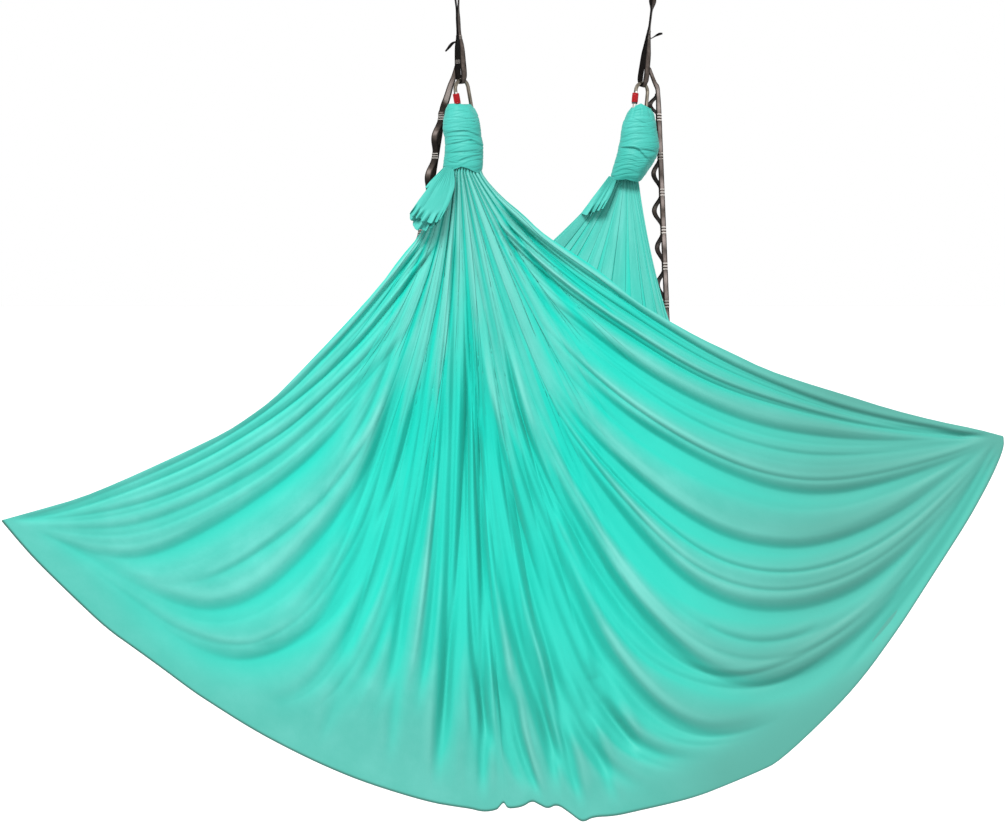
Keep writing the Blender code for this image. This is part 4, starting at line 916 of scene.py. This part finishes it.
def strap(side):
    """The loaded length: a band over the shackle's bow, down in two layers, and open at the bottom as the pocket that holds the carabiner."""
    sx = -1 if side == "left" else 1
    top = Vector((sx * ANCHOR_X, sx * ANCHOR_Y, -PIVOT_DROP))
    run = LOW[side] - top
    tilt = math.atan2(-run.x * math.cos(TURN) - run.y * math.sin(TURN), -run.z)
    m = facing(top, tilt)
    length = run.length
    end = -length + 0.0132 - 0.001
    neck = {
        "left": [(0.0046, -0.036), (0.0037, -0.050), (0.0026, -0.064), (0.0012, -0.080), (0.0012, -0.100), (0.0012, -0.128)],
        "right": [(0.0040, -0.032), (0.0024, -0.042), (0.0012, -0.052), (0.0012, -0.080), (0.0012, -0.100), (0.0014, -0.112)],
    }[side]
    half = [(0.0, -0.0077), (0.0034, -0.0083), (0.0058, -0.0105), (0.0060, -0.0165), (0.0058, -0.0225)] + neck
    half += [(0.0044, -0.146), (0.0070, -0.160), (0.0088, -length + 0.062), (0.0100, -length + 0.044), (0.0100, -length + 0.034), (0.0092, -length + 0.026), (0.0076, end + 0.007), (0.0048, end + 0.0028), (0.0024, end + 0.0008), (0.0, end + 0.0005)]
    half = rounded(half, 90, 2)
    loop = np.concatenate([half, (half * (-1, 1))[::-1][1:-1]])
    n, z = loop[:, 0], loop[:, 1]
    turns = {"left": ((0.026, 0), (0.044, 36), (0.068, 36), (0.094, 22), (0.135, 22), (0.172, 6), (0.195, 0)), "right": ((0.034, 6), (0.052, 38), (0.094, 38), (0.112, 24), (0.140, 10), (0.170, 0))}[side]
    twist = np.radians(np.interp(-z, [v for v, _ in turns], [d for _, d in turns]))
    for _ in range(3):
        twist = (np.roll(twist, 1) + 2 * twist + np.roll(twist, -1)) / 4
    width = 0.018 - 0.008 * np.maximum(1 - smooth_step(-z, 0.020, 0.034), 0.6 * smooth_step(-z, length - 0.030, length - 0.016))
    local = np.stack([-np.sin(twist) * n, np.cos(twist) * n, z], 1)
    wide = np.stack([np.cos(twist), np.sin(twist), 0 * z], 1)
    rot = np.array(m.to_3x3())
    line, wide = local @ rot.T + np.array(m.translation), wide @ rot.T
    shine = np.interp(-z, (0.0, 0.12, 0.16, 0.20, 0.235), (0.8, 0.9, 1.0, 1.0, 0.7))
    obj = ribbon(f"strap_band_{side}", line, wide, width, 0.0020, WEBBING, closed=True, faces=(0.10, 1.0), along=shine)
    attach(obj, f"strap_{side}")
    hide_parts(f"strap_{side}")
    parts = []
    for zc, lifts in {"left": ((-0.137, (-1, 1)), (-0.193, (0.6,))), "right": ((-0.108, (-1, 1)), (-0.122, (-1, 1)))}[side]:
        k = int(np.argmin(np.abs(z[: len(half)] - zc)))
        for face in lifts:
            w = np.array((math.cos(twist[k]), math.sin(twist[k]), 0.0)) @ rot.T
            o = np.array((-math.sin(twist[k]), math.cos(twist[k]), 0.0)) @ rot.T
            c = np.array((0, 0, zc)) @ rot.T + np.array(m.translation)
            off = abs(n[k]) + 0.0012 if abs(face) == 1 else abs(n[k]) - 0.0012
            parts += tack(f"t_{side}_{zc}_{face}", c, w, np.array((0, 0, 1.0)) @ rot.T, o * np.sign(face), 0.0155, off, look=DARK_THREAD)
    stitches = joined(f"strap_bar_tacks_{side}", parts)
    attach(stitches, f"strap_{side}")
    return obj, m


strap("left")
strap("right")


def tail(side, base, depth, drop_to, bulge, tacks, phi, lead, painted_face_light):
    """The unused length of the daisy chain, hanging: a tape that comes down from the loaded strap and a second one that
    bulges into pockets between bar tacks. The last argument says how strongly a highlight is painted on each tape's two
    faces."""
    e_w = np.array((math.sin(phi), -math.cos(phi), 0.0))  # from the far edge to the near edge of the tape
    e_b = np.array((-math.cos(phi), -math.sin(phi), 0.0))  # the side that the pockets bulge to
    zs = np.linspace(tacks[0], drop_to, 90)
    line = np.concatenate([rounded(list(lead) + [(base(tacks[0]), depth, tacks[0]), (base(tacks[1]), depth, tacks[1])], 24), np.array([(base(z), depth, z) for z in zs if z < tacks[1] - 0.003])])
    wide = np.tile(e_w, (len(line), 1))
    # painted highlight along the tape, strongest on the left tail's lead-in where its face catches the light
    wear_and_sheen = 0.75 + 0.25 * np.cos(line[:, 2] * 97.0) * np.cos(line[:, 2] * 41.0)
    if side == "left":
        wear_and_sheen = np.interp(-line[:, 2], (0.29, 0.335, 0.352, 0.365, 0.40), (0.9, 2.0, 2.1, 0.2, 0.6))
    tape = ribbon(f"tail_tape_{side}", line, wide, np.interp(-line[:, 2], (0.27, 0.30, 0.37), (0.012, 0.013, 0.018)), 0.0022, WEBBING, faces=painted_face_light[0], along=wear_and_sheen)
    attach(tape, "sling")
    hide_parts(f"strap_tail_{side}")

    def share(z):
        for i, (a, b) in enumerate(zip(tacks, tacks[1:])):
            if b <= z <= a:
                u = min(max(((a - z) / (a - b) - 0.10) / 0.80, 0), 1)
                return u, (0.9 + 0.1 * math.cos(2.3 * i)) * min(1.0, ((a - b) / 0.055) ** 2)
        return 0.0, 1.0

    def lift(z):
        u, scale = share(z)
        return bulge * scale * math.sin(math.pi * u) ** 1.5

    pz = np.linspace(tacks[0] - 0.002, tacks[-1] - 0.004, 300)
    pline = np.array([np.array((base(z), depth, z)) + e_b * (0.0024 + lift(z)) for z in pz])
    lit = np.array([0.12 + 0.88 * math.exp(-(((share(z)[0] - 0.40) / 0.17) ** 2)) for z in pz])
    pockets = ribbon(f"tail_pocket_tape_{side}", pline, np.tile(e_w, (len(pz), 1)), 0.0165, 0.0018, WEBBING, faces=painted_face_light[1], along=lit)
    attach(pockets, "sling")
    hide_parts(f"tail_pockets_{side}")
    parts = []
    for z in tacks[1:]:
        for face, off in ((1, 0.0037), (-1, 0.0015)):
            parts += tack(f"tt_{side}_{z}_{face}", (base(z), depth, z), e_w, (0, 0, 1.0), e_b * face, 0.0155, off, 3, 0.0052 if side == "left" else 0.0070, radius=0.0009)
    stitches = joined(f"tail_bar_tacks_{side}", parts)
    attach(stitches, "sling")
    return tape


tail(
    "left", lambda z: -0.2640 - 0.160 * (-0.345 - z) - 0.03 * max(0, -0.52 - z), -0.165, -0.800, 0.020,
    (-0.375, -0.392, -0.482, -0.572, -0.660, -0.745, -0.795), math.radians(62),
    (tuple(at(457.0, 66.0, -0.2140)), tuple(at(454.0, 77.0, -0.2130)), (-0.2502, -0.2080, -0.3189), (-0.2574, -0.1900, -0.3438), (-0.2650, -0.1710, -0.3640)), ((0.9, 0.9), (1.3, 1.3)),
)
tail(
    "right", lambda z: 0.2480 + 0.042 * (-0.335 - z), 0.246, -0.935, 0.026,
    (-0.325, -0.384, -0.478, -0.566, -0.658, -0.746, -0.838, -0.925), math.radians(-45),
    (tuple(at(649.0, 68.0, 0.2300)), tuple(at(652.0, 76.0, 0.2300)), tuple(at(655.5, 85.0, 0.2330)), (0.2455, 0.2400, -0.3110)), ((1.9, 1.9), (1.35, 1.35)),
)
TABS = {
    "left": ([(457.5, 42.2), (455.0, 42.0), (452.5, 43.2), (450.0, 46.0), (447.6, 49.0), (445.4, 51.4)], -0.2334, (0.0036, 0.0042, 0.0066, 0.0066, 0.0048, 0.0030)),
    "right": ([(650.0, 39.2), (652.5, 37.8), (655.0, 36.2), (657.5, 34.8), (660.0, 33.8), (662.4, 33.6)], 0.2289, (0.0020, 0.0022, 0.0030, 0.0056, 0.0062, 0.0040)),
}
for side, (line, depth, thick) in TABS.items():
    line = rounded(line, 24)
    tab = ribbon(f"end_tab_{side}", at(line[:, 0], line[:, 1], depth), np.tile((0.0, 1.0, 0.0), (24, 1)), 0.014, np.interp(np.linspace(0, 5, 24), range(6), thick), WEBBING, faces=(0.12, 0.12))
    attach(tab, f"strap_{side}")
    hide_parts(f"strap_tab_{side}")


# ---------------------------------------------------------------- metalwork
def arc(centre, radius, start, end, steps):
    ang = np.radians(np.linspace(start, end, steps + 1))
    return [(centre[0] + radius * math.cos(v), centre[1] + radius * math.sin(v)) for v in ang]


def paint(node, look):
    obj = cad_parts[node]
    obj.data.materials.clear()
    obj.data.materials.append(look)


for side in ("left", "right"):
    paint(f"ceiling_plate_{side}", PLATE_STEEL)
    paint(f"plate_screw_{side}_1", SCREW_STEEL)
    paint(f"plate_screw_{side}_2", SCREW_STEEL)
    paint(f"shackle_{side}", STEEL)
    paint(f"shackle_pin_{side}", NOSE_STEEL)
    paint(f"carabiner_frame_{side}", STEEL)
    paint(f"carabiner_gate_{side}", NOSE_STEEL)
    paint(f"gate_rivet_{side}", NOSE_STEEL)
    paint(f"gate_spring_{side}", SPRING_STEEL)
    paint(f"lock_collar_{side}", RING)

    # the sleeve, with a knurled band of fine ribs
    m = facing(LOW[side], LEAN[side]) @ Matrix.Translation((-BOW_R, 0, -0.0060))
    Rr, B, Ln = 0.00775, 0.0050, 0.023
    profile = [(B, 0, 0), (Rr - 0.0011, 0, 0), (Rr - 0.0004, -0.0005, 0), (Rr, -0.0013, 0), (Rr, -0.0028, 0), (Rr - 0.0005, -0.0034, 0), (Rr - 0.0001, -0.0040, 1)]
    profile += [(Rr - 0.0001, -0.0040 - 0.0150 * i / 6, 1) for i in range(1, 7)]
    profile += [(Rr - 0.0005, -0.0196, 0), (Rr, -0.0202, 0), (Rr, -Ln + 0.0013, 0), (Rr - 0.0004, -Ln + 0.0005, 0), (Rr - 0.0011, -Ln, 0), (B, -Ln, 0)]
    steps = 144
    ang = np.linspace(0, 2 * math.pi, steps, endpoint=False)
    knurl = 0.00028 * (0.5 + 0.5 * np.cos(ang * 36))
    rows = np.array([[((r - k * flag) * math.cos(v), (r - k * flag) * math.sin(v), z) for v, k in zip(ang, knurl)] for r, z, flag in profile + profile[:1]])
    rot = np.array(m.to_3x3())
    sleeve = grid_mesh(f"knurled_sleeve_{side}", rows @ rot.T + np.array(m.translation), RED, wrap=True)
    bm = bmesh.new()
    bm.from_mesh(sleeve.data)
    bmesh.ops.remove_doubles(bm, verts=bm.verts, dist=1e-7)
    bmesh.ops.recalc_face_normals(bm, faces=bm.faces)
    bm.to_mesh(sleeve.data)
    bm.free()
    sleeve.data.shade_smooth()
    sleeve.data.set_sharp_from_angle(angle=math.radians(45))
    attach(sleeve, f"sleeve_{side}")
    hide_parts(f"lock_sleeve_{side}")

# ---------------------------------------------------------------- floor and light
floor_mesh = bpy.data.meshes.new("floor")
floor_mesh.from_pydata([(-60, -60, -2.45), (60, -60, -2.45), (60, 60, -2.45), (-60, 60, -2.45)], [], [(0, 1, 2, 3)])
floor = bpy.data.objects.new("floor", floor_mesh)
scene.collection.objects.link(floor)
fl = Look("pale_floor")
fl.set(Roughness=0.9, Specular_IOR_Level=0.1)
fl.p.inputs["Base Color"].default_value = (0.55, 0.55, 0.55, 1)
floor.data.materials.append(fl.m)

world = bpy.data.worlds.new("studio")
scene.world = world
world.use_nodes = True
world.node_tree.nodes["Background"].inputs["Color"].default_value = (1, 1, 1, 1)
world.node_tree.nodes["Background"].inputs["Strength"].default_value = 1.0


def sun(name, direction, strength, angle, colour=(1, 1, 1)):
    data = bpy.data.lights.new(name, "SUN")
    data.energy, data.angle, data.color = strength, math.radians(angle), colour
    obj = bpy.data.objects.new(name, data)
    obj.rotation_euler = Vector(direction).to_track_quat("-Z", "Y").to_euler()
    scene.collection.objects.link(obj)


sun("key", (0.38, 1.0, -1.05), 6.2, 22)
sun("fill", (-0.55, 1.0, -0.10), 1.0, 40)
scene.view_settings.view_transform = "Standard"
scene.view_settings.look = "None"
